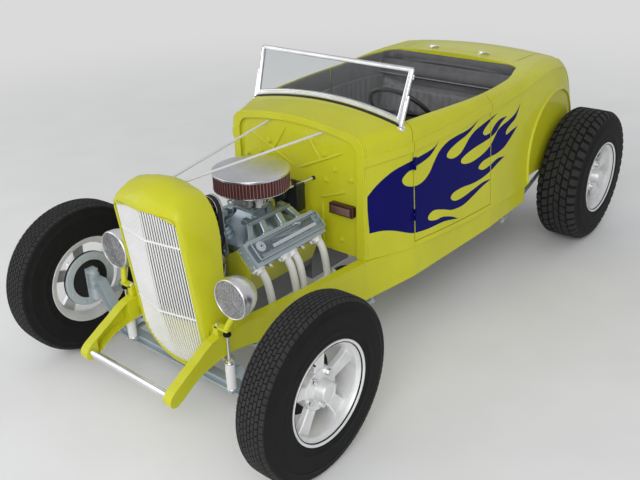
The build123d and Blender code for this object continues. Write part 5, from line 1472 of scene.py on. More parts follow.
def make_air_cleaner():
    """A folded paper ring between a tray and a domed lid, with a painted highlight on the crest of each
    fold.
    """
    shape = Shape("air_cleaner_shell")
    centre = upright(0, CARB_BACK)
    shape.use(CHROME).lathe(centre, [(0.8752, 0.0), (0.8752, 0.066), (0.876, 0.130), (0.8775, 0.168),
                                     (0.880, 0.178), (0.8828, 0.1798), (0.8845, 0.1795), (0.885, 0.1765),
                                     (0.8838, 0.171), (0.8838, 0.0)], 96)
    folds = 72
    low, high = 0.8835, 0.9555
    for fold in range(folds):
        step = math.tau / folds
        angle = fold * step
        corners = []
        for share, radius in ((0.0, 0.168), (0.28, 0.1758), (0.50, 0.1762), (0.76, 0.1684), (1.0, 0.168)):
            turned = angle + share * step
            corners.append((radius * math.cos(turned), radius * math.sin(turned)))
        points = [centre @ Vector((x, y, z)) for z in (low, high) for x, y in corners]
        # Flanks and valley take the paper's maroon; the crest face takes the lighter painted highlight.
        shape.use(MAROON).add(points, [(0, 1, 6, 5), (2, 3, 8, 7), (3, 4, 9, 8)])
        shape.use(FOLD_CREST_HIGHLIGHT).add([points[1], points[2], points[7], points[6]], [(0, 1, 2, 3)])
    shape.use(BLACK).rings([[centre @ Vector((x, y, z)) for x, y in circle(96, 0.150)]
                            for z in (low, high)])
    shape.use(LID_METAL).lathe(centre, [(0.954, 0.0), (0.954, 0.170), (0.9545, 0.1785), (0.9556, 0.1797),
                                        (0.964, 0.1799), (0.966, 0.1788), (0.9668, 0.176), (0.969, 0.150),
                                        (0.9708, 0.100), (0.9716, 0.050), (0.9719, 0.0)], 128)
    shape.done("chassis", ("air_cleaner",), 30)


def make_drive():
    """The upright belt with its upper pulley and carrier in front of the engine."""
    shape = Shape("belt_drive").use(CHROME)
    top_z, low_z = 0.866, 0.728
    for z, radius in ((top_z, 0.050), (low_z, 0.060)):
        pulley = spot(at(0, 0.234, z), (0, -1, 0))
        shape.lathe(pulley, [(0, radius + 0.006), (0.003, radius + 0.006), (0.004, radius),
                             (0.026, radius), (0.027, radius + 0.006), (0.030, radius + 0.006),
                             (0.030, radius - 0.006), (0.022, radius - 0.010), (0.022, 0.016),
                             (0.030, 0.014), (0.031, 0.0)], 48)
        bolt(shape, moved(pulley, 0, 0, 0.030), 0.009, 0.008)
    shape.use(BELT_RUBBER)
    outer = arc(0, top_z, 0.0505, 0.0505, 0, 180, 21) + arc(0, low_z, 0.0605, 0.0605, 180, 360, 21)
    rings = []
    for x, z in outer:
        near = low_z if z < (top_z + low_z) / 2 else top_z
        way = Vector((x, 0, z - near)).normalized() * 0.0045
        rings.append([at(x, 0.2085, z), at(x + way.x, 0.2085, z + way.z),
                      at(x + way.x, 0.2295, z + way.z), at(x, 0.2295, z)])
    shape.rings(rings, loop=True)
    shape.use(MANIFOLD)
    carrier = spot(at(0, 0.242, 0), (0, -1, 0), (1, 0, 0))
    edge = [(-0.070, 0.640), (0.070, 0.640), (0.066, 0.700), (0.058, 0.800)]
    edge += arc(0, top_z, 0.056, 0.056, 0, 180, 13) + [(-0.058, 0.800), (-0.066, 0.700)]
    shape.slab(carrier, edge, 0.0, 0.007, 0.001)
    for x, z in ((-0.045, 0.660), (0.045, 0.660), (-0.040, 0.760), (0.040, 0.760)):
        bolt(shape, spot(at(x, 0.235, z), (0, -1, 0)), 0.0062, 0.006)
    shape.done("chassis", (), 34)
    # ribs and a hub nut for the lower pulleys and the crank
    small = Shape("pulley_faces").use(CHROME)
    for z, radius in ((0.598, 0.056), (CRANK_Z, 0.066)):
        front = spot(at(0, 0.2062, z), (0, -1, 0))
        small.lathe(front, [(-0.002, radius), (0.003, radius), (0.0035, radius - 0.006),
                            (0.0005, radius - 0.012), (0.0005, 0.026), (0.006, 0.024), (0.007, 0.0)], 48)
        for u, v in circle(5, 0.038):
            bolt(small, moved(front, u, v, 0.001), 0.0045, 0.005)
    small.done("chassis", (), 34)


def make_engine_details():
    """Header flanges, plugs, bolts, core plugs, distributor, magneto box and starter."""
    shape = Shape("engine_fittings")
    for side in (1, -1):
        # header flanges with their bolts on the outer face of each head
        shape.use(WHITE_COAT)
        for back in PORT_BACKS:
            place = spot(bank(side, 0.2565, back, 0.0622), (side, 0, -1), (0, 1, 0))
            lobes = []
            for step in range(32):
                angle = math.tau * step / 32
                reach = 0.027 + 0.010 * abs(math.cos(angle)) ** 4
                lobes.append((reach * math.cos(angle), 0.92 * reach * math.sin(angle)))
            shape.slab(place, lobes, -0.001, 0.008, 0.0012)
        shape.use(CHROME)
        for back in PORT_BACKS:
            place = spot(bank(side, 0.2565, back, 0.0622), (side, 0, -1), (0, 1, 0))
            for step in (-1, 1):
                bolt(shape, moved(place, step * 0.0305, 0, 0.0078), 0.0045, 0.006)
        # spark plugs with short boots, between the ports
        for back in (0.318, 0.378, 0.536, 0.594):
            plug = spot(bank(side, 0.270, back, 0.061), (side * 0.9, 0, -0.35))
            shape.use(STEEL).lathe(plug, [(-0.002, 0.0105), (0.008, 0.0105), (0.009, 0.0095)], 6)
            shape.use(PALE).lathe(plug, [(0.006, 0.0062), (0.022, 0.0058), (0.023, 0.0045)], 14)
            shape.use(CHROME).lathe(plug, [(0.022, 0.0038), (0.028, 0.0038), (0.0285, 0.003)], 12)
        # cylinder head bolts on the front face, core plugs and pan bolts down the block
        for along, out in ((0.246, -0.040), (0.246, 0.040), (0.270, 0.0)):
            place = spot(bank(side, along, ENGINE_FRONT - 0.0005, out), (0, -1, 0))
            shape.use(HEAD_BLUE)
            bolt(shape, place, 0.0062, 0.006)
        for order in range(3):
            place = spot(bank(side, 0.135, ENGINE_FRONT + 0.11 + order * 0.13, 0.0735), (side, 0, -1),
                         (0, 1, 0))
            shape.use(STEEL).lathe(place, [(-0.006, 0.020), (0.0012, 0.020), (0.0018, 0.0188),
                                           (0.0002, 0.0165), (-0.002, 0.015), (-0.002, 0.0)], 28)
    shape.use(BLACK)
    cap = upright(0, 0.670)
    shape.lathe(cap, [(0.700, 0.030), (0.742, 0.031), (0.760, 0.036), (0.764, 0.0445), (0.790, 0.045),
                      (0.812, 0.043), (0.818, 0.0385), (0.820, 0.0)], 40)
    for order in range(9):
        angle = math.tau * order / 8 + 0.2
        x, y = (0.028 * math.cos(angle), 0.028 * math.sin(angle)) if order < 8 else (0, 0)
        tower = moved(cap, x, y, 0.816)
        shape.lathe(tower, [(0, 0.0085), (0.015, 0.0075), (0.018, 0.0068), (0.0185, 0.004)], 14)
    box = upright(0.064, 0.700)
    shape.slab(box, box_outline(0.042, 0.030, 0.006), 0.705, 0.842, 0.0025)
    shape.slab(box, box_outline(0.044, 0.032, 0.007), 0.824, 0.830, 0.001)
    shape.lathe(box, [(0.840, 0.011), (0.852, 0.010), (0.854, 0.007)], 20)
    shape.use(STEEL)
    shape.slab(box, box_outline(0.030, 0.020, 0.003), 0.655, 0.706, 0.001)
    # starter beside the block
    shape.use(BLACK)
    starter = spot(at(-0.165, 0.700, 0.430), (0, -1, 0))
    shape.lathe(starter, [(0.0, 0.034), (0.002, 0.036), (0.120, 0.036), (0.124, 0.032), (0.130, 0.014),
                          (0.131, 0.0)], 32)
    shape.done("chassis", (), 34)


def make_headers():
    """Four curved pipes a side that run down into one collector."""
    for side_name, side in SIDES:
        shape = Shape("headers_%s_pipes" % side_name).use(WHITE_COAT)
        for back in PORT_BACKS:
            start = bank(side, 0.2565, back, 0.064)
            path = [start, start + Vector((side * 0.012, 0, -0.012)),
                    at(side * 0.204, back + 0.004, 0.640), at(side * 0.229, back + 0.018, 0.596),
                    at(side * 0.241, back + 0.034, 0.545), at(side * 0.244, back + 0.048, 0.480),
                    at(side * 0.244, back + 0.058, 0.420), at(side * 0.244, back + 0.062, 0.374)]
            shape.tube(curve_through(path, 5), 0.0182, 22)
        place = spot(at(side * 0.244, 0, 0.372), (0, 1, 0))
        shape.lathe(place, [(0.296, 0.012), (0.2975, 0.020), (0.305, 0.0245), (0.330, 0.025),
                            (0.750, 0.025), (0.750, 0.036), (0.7598, 0.036)], 28)
        shape.use(CHROME)
        for turn in range(3):
            turned = place @ Matrix.Rotation(math.tau * turn / 3, 4, "Z")
            bolt(shape, moved(turned, 0.030, 0, 0.7495) @ Matrix.Rotation(math.pi, 4, "X"), 0.004, 0.005)
        shape.done("chassis", ("headers_%s" % side_name,), 38)


make_valve_covers()
make_intake()
make_carburettor()
make_air_cleaner()
make_drive()
make_engine_details()
make_headers()


# Windscreen
SCREEN_BACK = 1.005
SCREEN_Z = 1.098
SCREEN_LEAN = 0.090
SCREEN_RISE = 0.263
SCREEN_UP = Vector((0, SCREEN_LEAN, SCREEN_RISE)).normalized()
SCREEN_HEIGHT = math.hypot(SCREEN_LEAN, SCREEN_RISE)
SCREEN_CORNER = 0.016
SCREEN_METAL = metal("screen_frame", (0.80, 0.80, 0.82), 0.24, 0)
RUBBER_SEAL = plain_stuff("rubber_seal", (0.010, 0.010, 0.011), 0.6, 500, 0.2, 0)


def cowl_top(x, back):
    """Height of the body's outside at a distance from the centre line."""
    line = half_section(back)
    for a, b in zip(reversed(line), reversed(line[:-1])):
        if a[0] <= abs(x) <= b[0]:
            return a[1] + (b[1] - a[1]) * (abs(x) - a[0]) / max(b[0] - a[0], 1e-9)
    return line[-1][1]


def screen_foot(x):
    """Distance up the screen's plane to the cowl's surface."""
    rise = 0.0
    for _ in range(8):
        rise = (cowl_top(x, SCREEN_BACK + SCREEN_LEAN * rise) - SCREEN_Z) / SCREEN_RISE
    return rise * SCREEN_HEIGHT


def make_screen():
    """The twin-bar frame, its posts with feet and wing knobs, and the rubber under it."""
    place = frame_at(at(0, SCREEN_BACK, SCREEN_Z), (1, 0, 0), SCREEN_UP)
    half_low, half_high = 0.454, 0.468
    outline = [(x, screen_foot(x) + 0.0045) for x in spread(-half_low, half_low, 33)]
    for side, start in ((1, 0), (-1, 90)):
        outline += arc(side * (half_high - SCREEN_CORNER), SCREEN_HEIGHT - SCREEN_CORNER, SCREEN_CORNER,
                       SCREEN_CORNER, start, start + 90, 6)
    shape = Shape("windscreen_bars").use(SCREEN_METAL)
    section = [(0.002, -0.0075), (0.0, -0.005), (0.0, 0.005), (0.002, 0.0075), (0.0075, 0.0085),
               (0.010, 0.006), (0.0118, 0.006), (0.014, 0.0085), (0.019, 0.007), (0.0205, 0.0045),
               (0.0205, -0.0045), (0.019, -0.007), (0.014, -0.0085), (0.0118, -0.006), (0.010, -0.006),
               (0.0075, -0.0085)]
    rings = []
    for depth, n in section:
        edge = inset(outline, depth * 1.12)
        rings.append([place @ Vector((u, v + (0.30 * depth if v < 0.12 else 0), n)) for u, v in edge])
    shape.rings(rings, loop=True)
    for side in (1, -1):
        edge_low = Vector((side * (half_low + 0.006), screen_foot(half_low) + 0.004, 0))
        edge_high = Vector((side * (half_low + 0.0135), 0.150, 0))
        run = [place @ edge_low.lerp(edge_high, t) for t in spread(0, 1, 6)]
        shape.tube([run[0] - Vector((0, 0, 0.012))] + run,
                   [0.0125, 0.0115, 0.0095, 0.0085, 0.008, 0.0078, 0.006], 18)
        base = spot(run[0] - Vector((0, 0, 0.0105)), (side * 0.35, 0, 1))
        shape.lathe(base, [(-0.006, 0.0205), (0.002, 0.0205), (0.0055, 0.018), (0.008, 0.0125)], 28)
        for height, size in ((0.132, 1.0), (0.235, 0.8)):
            edge = half_low + (half_high - half_low) * height / SCREEN_HEIGHT
            knob = spot(place @ Vector((side * (edge + 0.001), height, 0)), (side, 0, 0), SCREEN_UP)
            knob = knob @ Matrix.Diagonal((size, size, size, 1))
            shape.lathe(knob, [(-0.003, 0.0085), (0.004, 0.0085), (0.005, 0.006), (0.0095, 0.006),
                               (0.0105, 0.0045), (0.012, 0.0)], 20)
            shape.slab(moved(knob, 0, 0, 0.005), box_outline(0.0135, 0.0022, 0.0015), 0, 0.0065,
                       0.0008)
    shape.use(RUBBER_SEAL)
    rings = []
    for x in spread(-half_low - 0.002, half_low + 0.002, 41):
        foot = place @ Vector((x, screen_foot(x), 0))
        rings.append([foot + Vector((0, v, w)) for v, w in (
            (-0.014, -0.003), (-0.012, 0.003), (-0.004, 0.0075), (0.008, 0.0085), (0.015, 0.0065),
            (0.017, -0.003))])
    shape.rings(rings)
    shape.done("chassis", ("windscreen_frame",), 40)


# Cockpit
PLEATED = plain_stuff("pleated_leather", (0.17, 0.17, 0.175), 0.5, 420, 0.3, 0)
PLAIN_LEATHER = plain_stuff("plain_leather", (0.105, 0.105, 0.11), 0.5, 420, 0.3, 0)
PIPING = plain_stuff("seat_piping", (0.26, 0.26, 0.265), 0.45, 420, 0.2, 0)
CARPET = plain_stuff("black_carpet", (0.030, 0.030, 0.032), 0.95, 900, 0.7, 0)
PAD_CAP = 0.026
PLEAT_PITCH = 0.046
PLEAT_DEPTH = 0.010
PLEAT_TOP = 0.990
RIM_REACH = 0.177
GRIP_RADIUS = 0.0122


def puffed(start, voxel):
    """The mesh of a pad that was blown up a little as cloth, with no point moved past the cap."""
    scene = bpy.context.scene
    graph = bpy.context.evaluated_depsgraph_get()
    even = start.modifiers.new("even", "REMESH")
    even.mode = "VOXEL"
    even.voxel_size = voxel
    graph.update()
    mesh = bpy.data.meshes.new_from_object(start.evaluated_get(graph))
    discard(start)
    piece = bpy.data.objects.new("pad_cloth", mesh)
    scene.collection.objects.link(piece)
    before = [vertex.co.copy() for vertex in mesh.vertices]
    cloth = piece.modifiers.new("cloth", "CLOTH")
    cloth.settings.use_pressure = True
    cloth.settings.uniform_pressure_force = 4
    cloth.settings.effector_weights.gravity = 0
    cloth.settings.tension_stiffness = 15
    cloth.settings.bending_stiffness = 2
    cloth.point_cache.frame_start = 1
    cloth.point_cache.frame_end = 20
    for frame_number in range(1, 21):
        scene.frame_set(frame_number)
    graph = bpy.context.evaluated_depsgraph_get()
    blown = bpy.data.meshes.new_from_object(piece.evaluated_get(graph))
    for vertex, old in zip(blown.vertices, before):
        move = vertex.co - old
        if move.length > PAD_CAP:
            vertex.co = old + move.normalized() * PAD_CAP
    discard(piece)
    scene.frame_set(1)
    return blown


def make_pad(name, node, place, outline, low, high, voxel):
    """A pleated cushion; its outline lies in its place's first two axes, its face looks up the third."""
    start = solid(name + "_start", lambda shape: shape.slab(place, outline, low, high, 0.014))
    mesh = puffed(start, voxel)
    back_to_place = place.inverted()
    face_level = low + (high - low) * 0.55
    low_edge, high_edge = min(v for _, v in outline), max(v for _, v in outline)
    for vertex in mesh.vertices:
        local = back_to_place @ vertex.co
        local.z = max(local.z, low)
        facing = max(0.0, min(1.0, (local.z - face_level) / 0.016))
        depth = PLEAT_DEPTH * (1 - abs(math.sin(math.pi * local.x / PLEAT_PITCH)) ** 0.7)
        for line in (low_edge + 0.052, high_edge - 0.052):
            depth = max(depth, PLEAT_DEPTH * 0.7 * math.exp(-((local.y - line) / 0.007) ** 2))
        local.z -= depth * facing
        vertex.co = place @ local
    mesh.update()
    piece = stand(painted_mesh(name, mesh, PLEATED), "chassis", (node,), 180)
    fine = piece.modifiers.new("fine", "SUBSURF")
    fine.levels = 1
    fine.render_levels = 1


def make_seats():
    """The pleated cushion and backrest, and the plain frame that carries them."""
    cushion = upright(0, 1.800)
    make_pad("seat_cushion_pad", "seat_cushion", cushion, box_outline(0.432, 0.208, 0.055, 8), 0.656,
             0.746, 0.0078)
    lean = Vector((0, 0.068, 0.300)).normalized()
    middle = at(0, 2.101, 0.885)
    back_place = frame_at(middle, (1, 0, 0), lean)
    edge = [(u, v - 0.012) for u, v in box_outline(0.434, 0.120, 0.034, 8)]
    make_pad("seat_back_pad", "seat_back", back_place, edge, -0.020, 0.028, 0.0066)
    shape = Shape("seat_frame").use(PLAIN_LEATHER)
    shape.slab(cushion, box_outline(0.450, 0.228, 0.030, 6), 0.5035, 0.655, 0.008)
    profile = [(2.215, 0.506), (2.2175, 0.510), (2.2175, 1.030), (2.208, 1.060), (2.190, 1.082),
               (2.170, 1.093), (2.148, 1.093), (2.132, 1.084), (2.120, 1.062), (2.113, 1.038),
               (2.111, 1.022), (2.118, 1.014), (2.150, 1.012), (2.080, 0.730), (2.056, 0.726),
               (2.050, 0.718), (2.050, 0.510), (2.052, 0.506)]
    rings = []
    for x in [-0.450, -0.447] + spread(-0.44, 0.44, 9) + [0.447, 0.450]:
        pull = 0.006 if abs(x) == 0.45 else (0.002 if abs(x) == 0.447 else 0.0)
        rings.append([at(x, back, z) for back, z in inset(profile, pull)])
    shape.rings(rings)
    shape.use(PIPING)
    for side in (1, -1):
        shape.tube(curve_through([at(side * 0.4475, back, z) for back, z in profile[2:11]], 4), 0.0035,
                   10)
    shape.tube([at(x, 2.107, 1.016) for x in spread(-0.445, 0.445, 21)], 0.004, 10)
    shape.tube([at(x, 1.571, 0.649) for x in spread(-0.42, 0.42, 9)], 0.0035, 10)
    shape.done("chassis", ("seat_cushion", "seat_back"), 50)


def lining_ring(side, back, z_low):
    """A closed ring for an upholstered panel on the body's inner wall, up to just under the rim."""
    x_wall = smooth_at(BODY_ROWS, back, 7)
    x_rim = min(opening_edge(back), x_wall)
    z_lip = smooth_at(BODY_ROWS, back, 3) - TOP_WALL - 0.004
    z_rim = cowl_top(x_rim, back) - 0.006
    outer = [(x_wall - 0.0015, z) for z in spread(z_low, z_lip, 8)]
    outer += [(x_rim - 0.001, z) for z in spread(z_lip + 0.003, z_rim, 4)]
    crest = abs(math.sin(math.pi * back / PLEAT_PITCH)) ** 0.5
    inner = [(x_rim - 0.004, z_rim), (x_rim - 0.006, z_rim - 0.004)]
    inner += [(x_rim - 0.007, z) for z in spread(z_rim - 0.012, PLEAT_TOP + 0.006, 4)]
    inner.append((x_rim - 0.0045, PLEAT_TOP + 0.001))
    for z in [PLEAT_TOP - 0.003, PLEAT_TOP - 0.010] + spread(PLEAT_TOP - 0.02, z_low + 0.01, 8) + [z_low]:
        edge = min(1.0, (PLEAT_TOP - z) / 0.010, (z - z_low) / 0.010 + 0.3)
        inner.append((x_rim - 0.0045 - 0.008 * crest * edge, z))
    return [at(side * x, back, z) for x, z in outer + inner]


def lining(name, side, low, high, piping_end, z_low, steps):
    """A pleated panel between two places along the car, with piping above its pleats."""
    shape = Shape(name + "_lining").use(PLEATED)
    shape.rings([lining_ring(side, back, z_low) for back in spread(low, high, steps)])
    path = [at(side * (opening_edge(back) - 0.0105), back, PLEAT_TOP + 0.001)
            for back in spread(low + 0.003, piping_end, 20)]
    shape.use(PIPING).tube(path, 0.0036, 10)
    return shape


def make_linings():
    """Pleated panels inside the doors and quarters, and the plain rim round the cockpit's rear."""
    for name, side in SIDES:
        low, high = DOOR_FRONT + 0.012, DOOR_REAR - 0.008
        shape = lining("door_" + name, side, low, high, high - 0.003, SILL_TOP + 0.020, 150)
        shape.use(CHROME)
        pull_back = DOOR_FRONT + 0.13
        plate_x = side * (opening_edge(pull_back) - 0.008)
        escutcheon = spot(at(plate_x, pull_back, 1.036), (-side, 0, 0), (0, 1, 0))
        shape.lathe(escutcheon, [(-0.003, 0.015), (0.002, 0.015), (0.0035, 0.013), (0.004, 0.007),
                                 (0.012, 0.007), (0.012, 0.0)], 24)
        pull = [(0, 0, 0.010), (-0.010, 0, 0.0125), (-0.045, 0, 0.013), (-0.062, 0, 0.011)]
        shape.tube([escutcheon @ Vector(point) for point in pull], [0.0045, 0.0042, 0.004, 0.005], 12)
        shape.done("door_" + name, (), 40)
        low, high = DOOR_REAR + 0.006, COCKPIT_REAR - 0.078
        lining("quarter_" + name, side, low, high, high, SILL_TOP + 0.004, 110).done("chassis", (), 40)
    edge = [(x, back) for x, back in cockpit_outline() if back > COCKPIT_REAR - 0.125]
    edge = edge + [(-x, back) for x, back in reversed(edge)]
    rim = Shape("rear_rim_lining").use(PLAIN_LEATHER)
    rings = []
    for order, (x, back) in enumerate(edge):
        before, after = edge[max(order - 1, 0)], edge[min(order + 1, len(edge) - 1)]
        along = Vector((after[0] - before[0], after[1] - before[1])).normalized()
        inward = Vector((-along.y, along.x))
        if inward.dot(Vector((0, 1.9)) - Vector((x, back))) < 0:
            inward = -inward
        top = cowl_top(abs(x), back) - 0.006
        rings.append([at(x + inward.x * d, back + inward.y * d, z) for d, z in (
            (0.001, top - 0.085), (0.001, top), (0.005, top), (0.0075, top - 0.003),
            (0.0085, top - 0.040), (0.007, top - 0.085))])
    rim.rings(rings)
    low_back, high_back = 2.208, 2.244
    rings = []
    for x in spread(-0.418, 0.418, 25):
        level = cowl_top(abs(x), 2.20) - 0.050 - 0.030 * (x / 0.418) ** 6
        rings.append([at(x, back, level + rise) for back, rise in (
            (low_back, -0.020), (high_back, -0.020), (high_back, 0.004), (high_back - 0.012, 0.002),
            (low_back + 0.014, 0.0), (low_back + 0.004, -0.004))])
    rim.rings(rings)
    rim.done("chassis", (), 50)


def make_controls():
    """Steering wheel, floor mat, gear lever and pedals."""
    wheel_spot = spot(at(0.250, 1.330, 1.062), (0, 0.775289, 0.631606), (1, 0, 0))
    shape = Shape("steering_wheel_rim").use(BLACK)
    steps = 96
    rings = []
    for step in range(steps):
        angle = math.tau * step / steps
        radius = GRIP_RADIUS + 0.0006 * math.cos(angle * 48)
        way = Vector((math.cos(angle), math.sin(angle), 0))
        rings.append([wheel_spot @ (way * (RIM_REACH + u) + Vector((0, 0, w)))
                      for u, w in circle(14, radius)])
    shape.rings(rings, loop=True)
    for angle in (0, 90, 180):
        turned = math.radians(angle)
        radial = Vector((math.cos(turned), math.sin(turned), 0))
        tangent = Vector((-math.sin(turned), math.cos(turned), 0))
        rings = []
        for reach, half, height in ((0.018, 0.013, -0.010), (0.060, 0.011, -0.009),
                                    (0.120, 0.0095, -0.004), (0.172, 0.011, 0.0)):
            section = [(-half, 0), (-half * 0.8, 0.0026), (half * 0.8, 0.0026), (half, 0),
                       (half * 0.8, -0.0026), (-half * 0.8, -0.0026)]
            rings.append([wheel_spot @ (radial * reach + tangent * u + Vector((0, 0, height + w)))
                          for u, w in section])
        shape.rings(rings)
    shape.lathe(wheel_spot, [(-0.066, 0.0), (-0.066, 0.024), (-0.064, 0.026), (-0.034, 0.027),
                             (-0.018, 0.029), (-0.006, 0.029), (-0.002, 0.027), (-0.0015, 0.0)], 36)
    shape.use(CHROME).lathe(wheel_spot, [(-0.0025, 0.025), (0.0005, 0.0245), (0.0015, 0.0225),
                                         (0.001, 0.0205)], 36)
    shape.use(RED).lathe(wheel_spot, [(-0.002, 0.0205), (0.001, 0.0203), (0.0032, 0.015), (0.0042, 0.007),
                                      (0.0044, 0.0)], 36)
    shape.done("steering_wheel", ("steering_wheel",), 40)
    cabin = Shape("cockpit_controls")
    cabin.use(CARPET)
    mat = upright(0, 1.180)
    cabin.slab(mat, box_outline(0.415, 0.365, 0.030, 5), 0.5028, 0.510, 0.002)
    cabin.use(CHROME)
    boot = upright(0.020, 1.260)
    cabin.lathe(boot, [(0.509, 0.060), (0.5125, 0.059), (0.5135, 0.052)], 36)
    cabin.use(BLACK).lathe(boot, [(0.510, 0.052), (0.518, 0.050), (0.526, 0.042), (0.532, 0.043),
                                  (0.542, 0.033), (0.548, 0.034), (0.558, 0.024), (0.570, 0.016),
                                  (0.576, 0.010)], 36)
    lever = curve_through([at(0.020, 1.260, 0.560), at(0.020, 1.268, 0.640), at(0.022, 1.296, 0.730),
                           at(0.026, 1.338, 0.808)], 6)
    cabin.use(CHROME).tube(lever, 0.006, 14)
    knob = spot(lever[-1], lever[-1] - lever[-3])
    cabin.use(BLACK).lathe(knob, [(-0.004, 0.009), (0.002, 0.015), (0.010, 0.0205), (0.020, 0.022),
                                  (0.030, 0.019), (0.038, 0.011), (0.040, 0.0)], 28)
    for x, low_z, high_z in ((0.370, 0.585, 0.700), (0.150, 0.585, 0.700), (0.080, 0.560, 0.640)):
        pad_spot = spot(at(x, 0.935, low_z), (0, 0.82, 0.57), (1, 0, 0))
        stalk = [at(x, 0.925, low_z - 0.004), at(x, 0.900, low_z + 0.020),
                 at(x, 0.850, low_z + 0.020), at(x, WALL + 0.012, high_z)]
        cabin.use(CHROME).tube(curve_through(stalk, 5), 0.0065, 12)
        cabin.use(BLACK).slab(pad_spot, box_outline(0.026, 0.030, 0.008), -0.004, 0.006, 0.002)
        for rib in (-0.018, -0.009, 0.0, 0.009, 0.018):
            cabin.slab(moved(pad_spot, 0, rib, 0.0055), box_outline(0.021, 0.0018, 0.001), 0,
                       0.0022, 0.0005)
    cabin.done("chassis", (), 40)


make_screen()
make_seats()
make_linings()
make_controls()


# Running gear details
BRAKE_GREY = painted("brake_grey", (0.45, 0.50, 0.53), 0.5, 0.05, 0.0015)
SATIN_WHITE = painted("satin_white", (0.72, 0.72, 0.70), 0.4, 0.2, 0)
MATT_BLACK = plain_stuff("matt_black", (0.006, 0.006, 0.006), 0.8, 500, 0.1, 0)
MAROON_CASE = painted("maroon_case", (0.045, 0.006, 0.010), 0.4, 0.3, 0)
PINK_METAL = metal("pink_metal", (0.50, 0.31, 0.27), 0.35, 0)
KINGPIN_X = 0.657
TANK_BACK = WHEELBASE + 0.2605
TANK_Z = 0.429


def make_brakes():
    """The pale ring and dark centre behind each front wheel, and the kingpin's caps."""
    for name, side in SIDES:
        body = "knuckle_" + name
        shape = Shape("brake_" + name).use(BRAKE_GREY)
        hub = spot(at(side * 0.6945, 0, FRONT_RADIUS), (-side, 0, 0), (0, 1, 0))
        shape.lathe(hub, [(0.0, 0.1374), (0.006, 0.1374), (0.0085, 0.135), (0.0085, 0.101),
                          (0.006, 0.0985), (0.0, 0.0985)], 64, closed=True)
        pin = at(side * KINGPIN_X, 0, 0)
        for z, way in ((FRONT_RADIUS + 0.051, 1), (FRONT_RADIUS - 0.060, -1)):
            cap = spot(Vector((pin.x, pin.y, z)), (0, 0, way), (0, 1, 0))
            shape.lathe(cap, [(-0.004, 0.0242), (0.006, 0.0242), (0.0085, 0.0225), (0.0095, 0.017),
                              (0.014, 0.016), (0.015, 0.0)], 28)
        for angle in range(20, 380, 45):
            turned = math.radians(angle)
            bolt(shape, moved(hub, 0.118 * math.cos(turned), 0.118 * math.sin(turned), 0.0085), 0.005,
                 0.004)
        shape.use(MATT_BLACK)
        shape.lathe(hub, [(0.0, 0.099), (0.001, 0.099), (0.002, 0.050), (0.002, 0.020), (0.0, 0.020)], 48,
                    closed=True)
        shape.lathe(hub, [(-0.012, 0.020), (-0.0132, 0.020), (-0.0132, 0.1392), (-0.002, 0.1392),
                          (-0.002, 0.1376), (-0.012, 0.1376)], 64, closed=True)
        shape.done(body, (), 34)


def make_shock_caps():
    """Sleeves and bushes on the front shocks."""
    shape = Shape("shock_caps")
    for side in (1, -1):
        stem = spot(at(side * 0.332, STAND_BACK, 0), (0, 0, 1), (1, 0, 0))
        shape.use(WHITE_COAT).lathe(stem, [(0.206, 0.0206), (0.208, 0.0212), (0.334, 0.0212),
                                           (0.336, 0.0206)], 36)
        shape.use(CHROME)
        for low, high in ((0.2045, 0.213), (0.337, 0.3455)):
            shape.lathe(stem, [(low, 0.0215), (low + 0.0015, 0.0228), (high - 0.0015, 0.0228),
                               (high, 0.0215)], 36)
        shape.lathe(stem, [(0.345, 0.017), (0.352, 0.015), (0.356, 0.010), (0.357, 0.0074)], 28)
        shape.use(RUBBER_WITH_PAINTED_SHADE).lathe(stem, [(0.470, 0.0076), (0.472, 0.016), (0.478, 0.0175), (0.484, 0.016),
                                       (0.486, 0.0076)], 28)
    shape.done("chassis", (), 34)


def make_tail_lamps():
    """Stepped red lenses in bright rims."""
    shape = Shape("tail_lamp_pair")
    for side in (1, -1):
        lamp = spot(at(side * 0.432, 2.8905, 0.600), (0, 1, 0), (1, 0, 0))
        shape.use(CHROME).lathe(lamp, [(0.0, 0.032), (0.0, 0.0335), (0.012, 0.0339), (0.019, 0.0339),
                                       (0.0225, 0.0322), (0.0225, 0.029), (0.015, 0.0284),
                                       (0.004, 0.0284), (0.004, 0.032)], 48, closed=True)
        dome = [(0.0045, 0.0283), (0.019, 0.0283)]
        for step in range(9):
            radius = 0.0275 - step * 0.003
            height = 0.0296 - 9.5 * radius ** 2
            dome.append((height - 0.0009 * (step % 2), radius))
        dome.append((0.0297, 0.0))
        shape.use(RED).lathe(lamp, dome, 48)
    shape.done("chassis", ("tail_lamps",), 34)


def make_tank_details():
    """Straps, end plates and the filler."""
    shape = Shape("tank_straps").use(STEEL)
    for x in (-0.260, 0.260):
        place = frame_at(at(x, TANK_BACK, TANK_Z), (0, 1, 0), (0, 0, 1))
        outline = box_outline(0.0828, 0.0573, 0.0345, 6)
        rings = []
        for grow, level in ((0.0002, -0.014), (-0.0022, -0.014), (-0.0022, 0.014), (0.0002, 0.014)):
            rings.append([place @ Vector((u, v, level)) for u, v in inset(outline, grow)])
        shape.rings(rings, loop=True)
    shape.use(CHROME)
    neck = spot(at(0.330, TANK_BACK + 0.035, 0.4855), (0, 0, 1), (1, 0, 0))
    shape.lathe(neck, [(-0.002, 0.027), (0.006, 0.027), (0.0065, 0.033), (0.008, 0.0345), (0.018, 0.0345),
                       (0.0205, 0.032), (0.0215, 0.025), (0.022, 0.0)], 36)
    shape.use(CAST)
    for x in (-0.4125, 0.4125):
        place = frame_at(at(x, TANK_BACK, TANK_Z), (0, 1, 0), (0, 0, 1))
        shape.slab(place, box_outline(0.070, 0.045, 0.026, 6), -0.0022, 0.0022, 0.001)
    shape.done("chassis", (), 40)


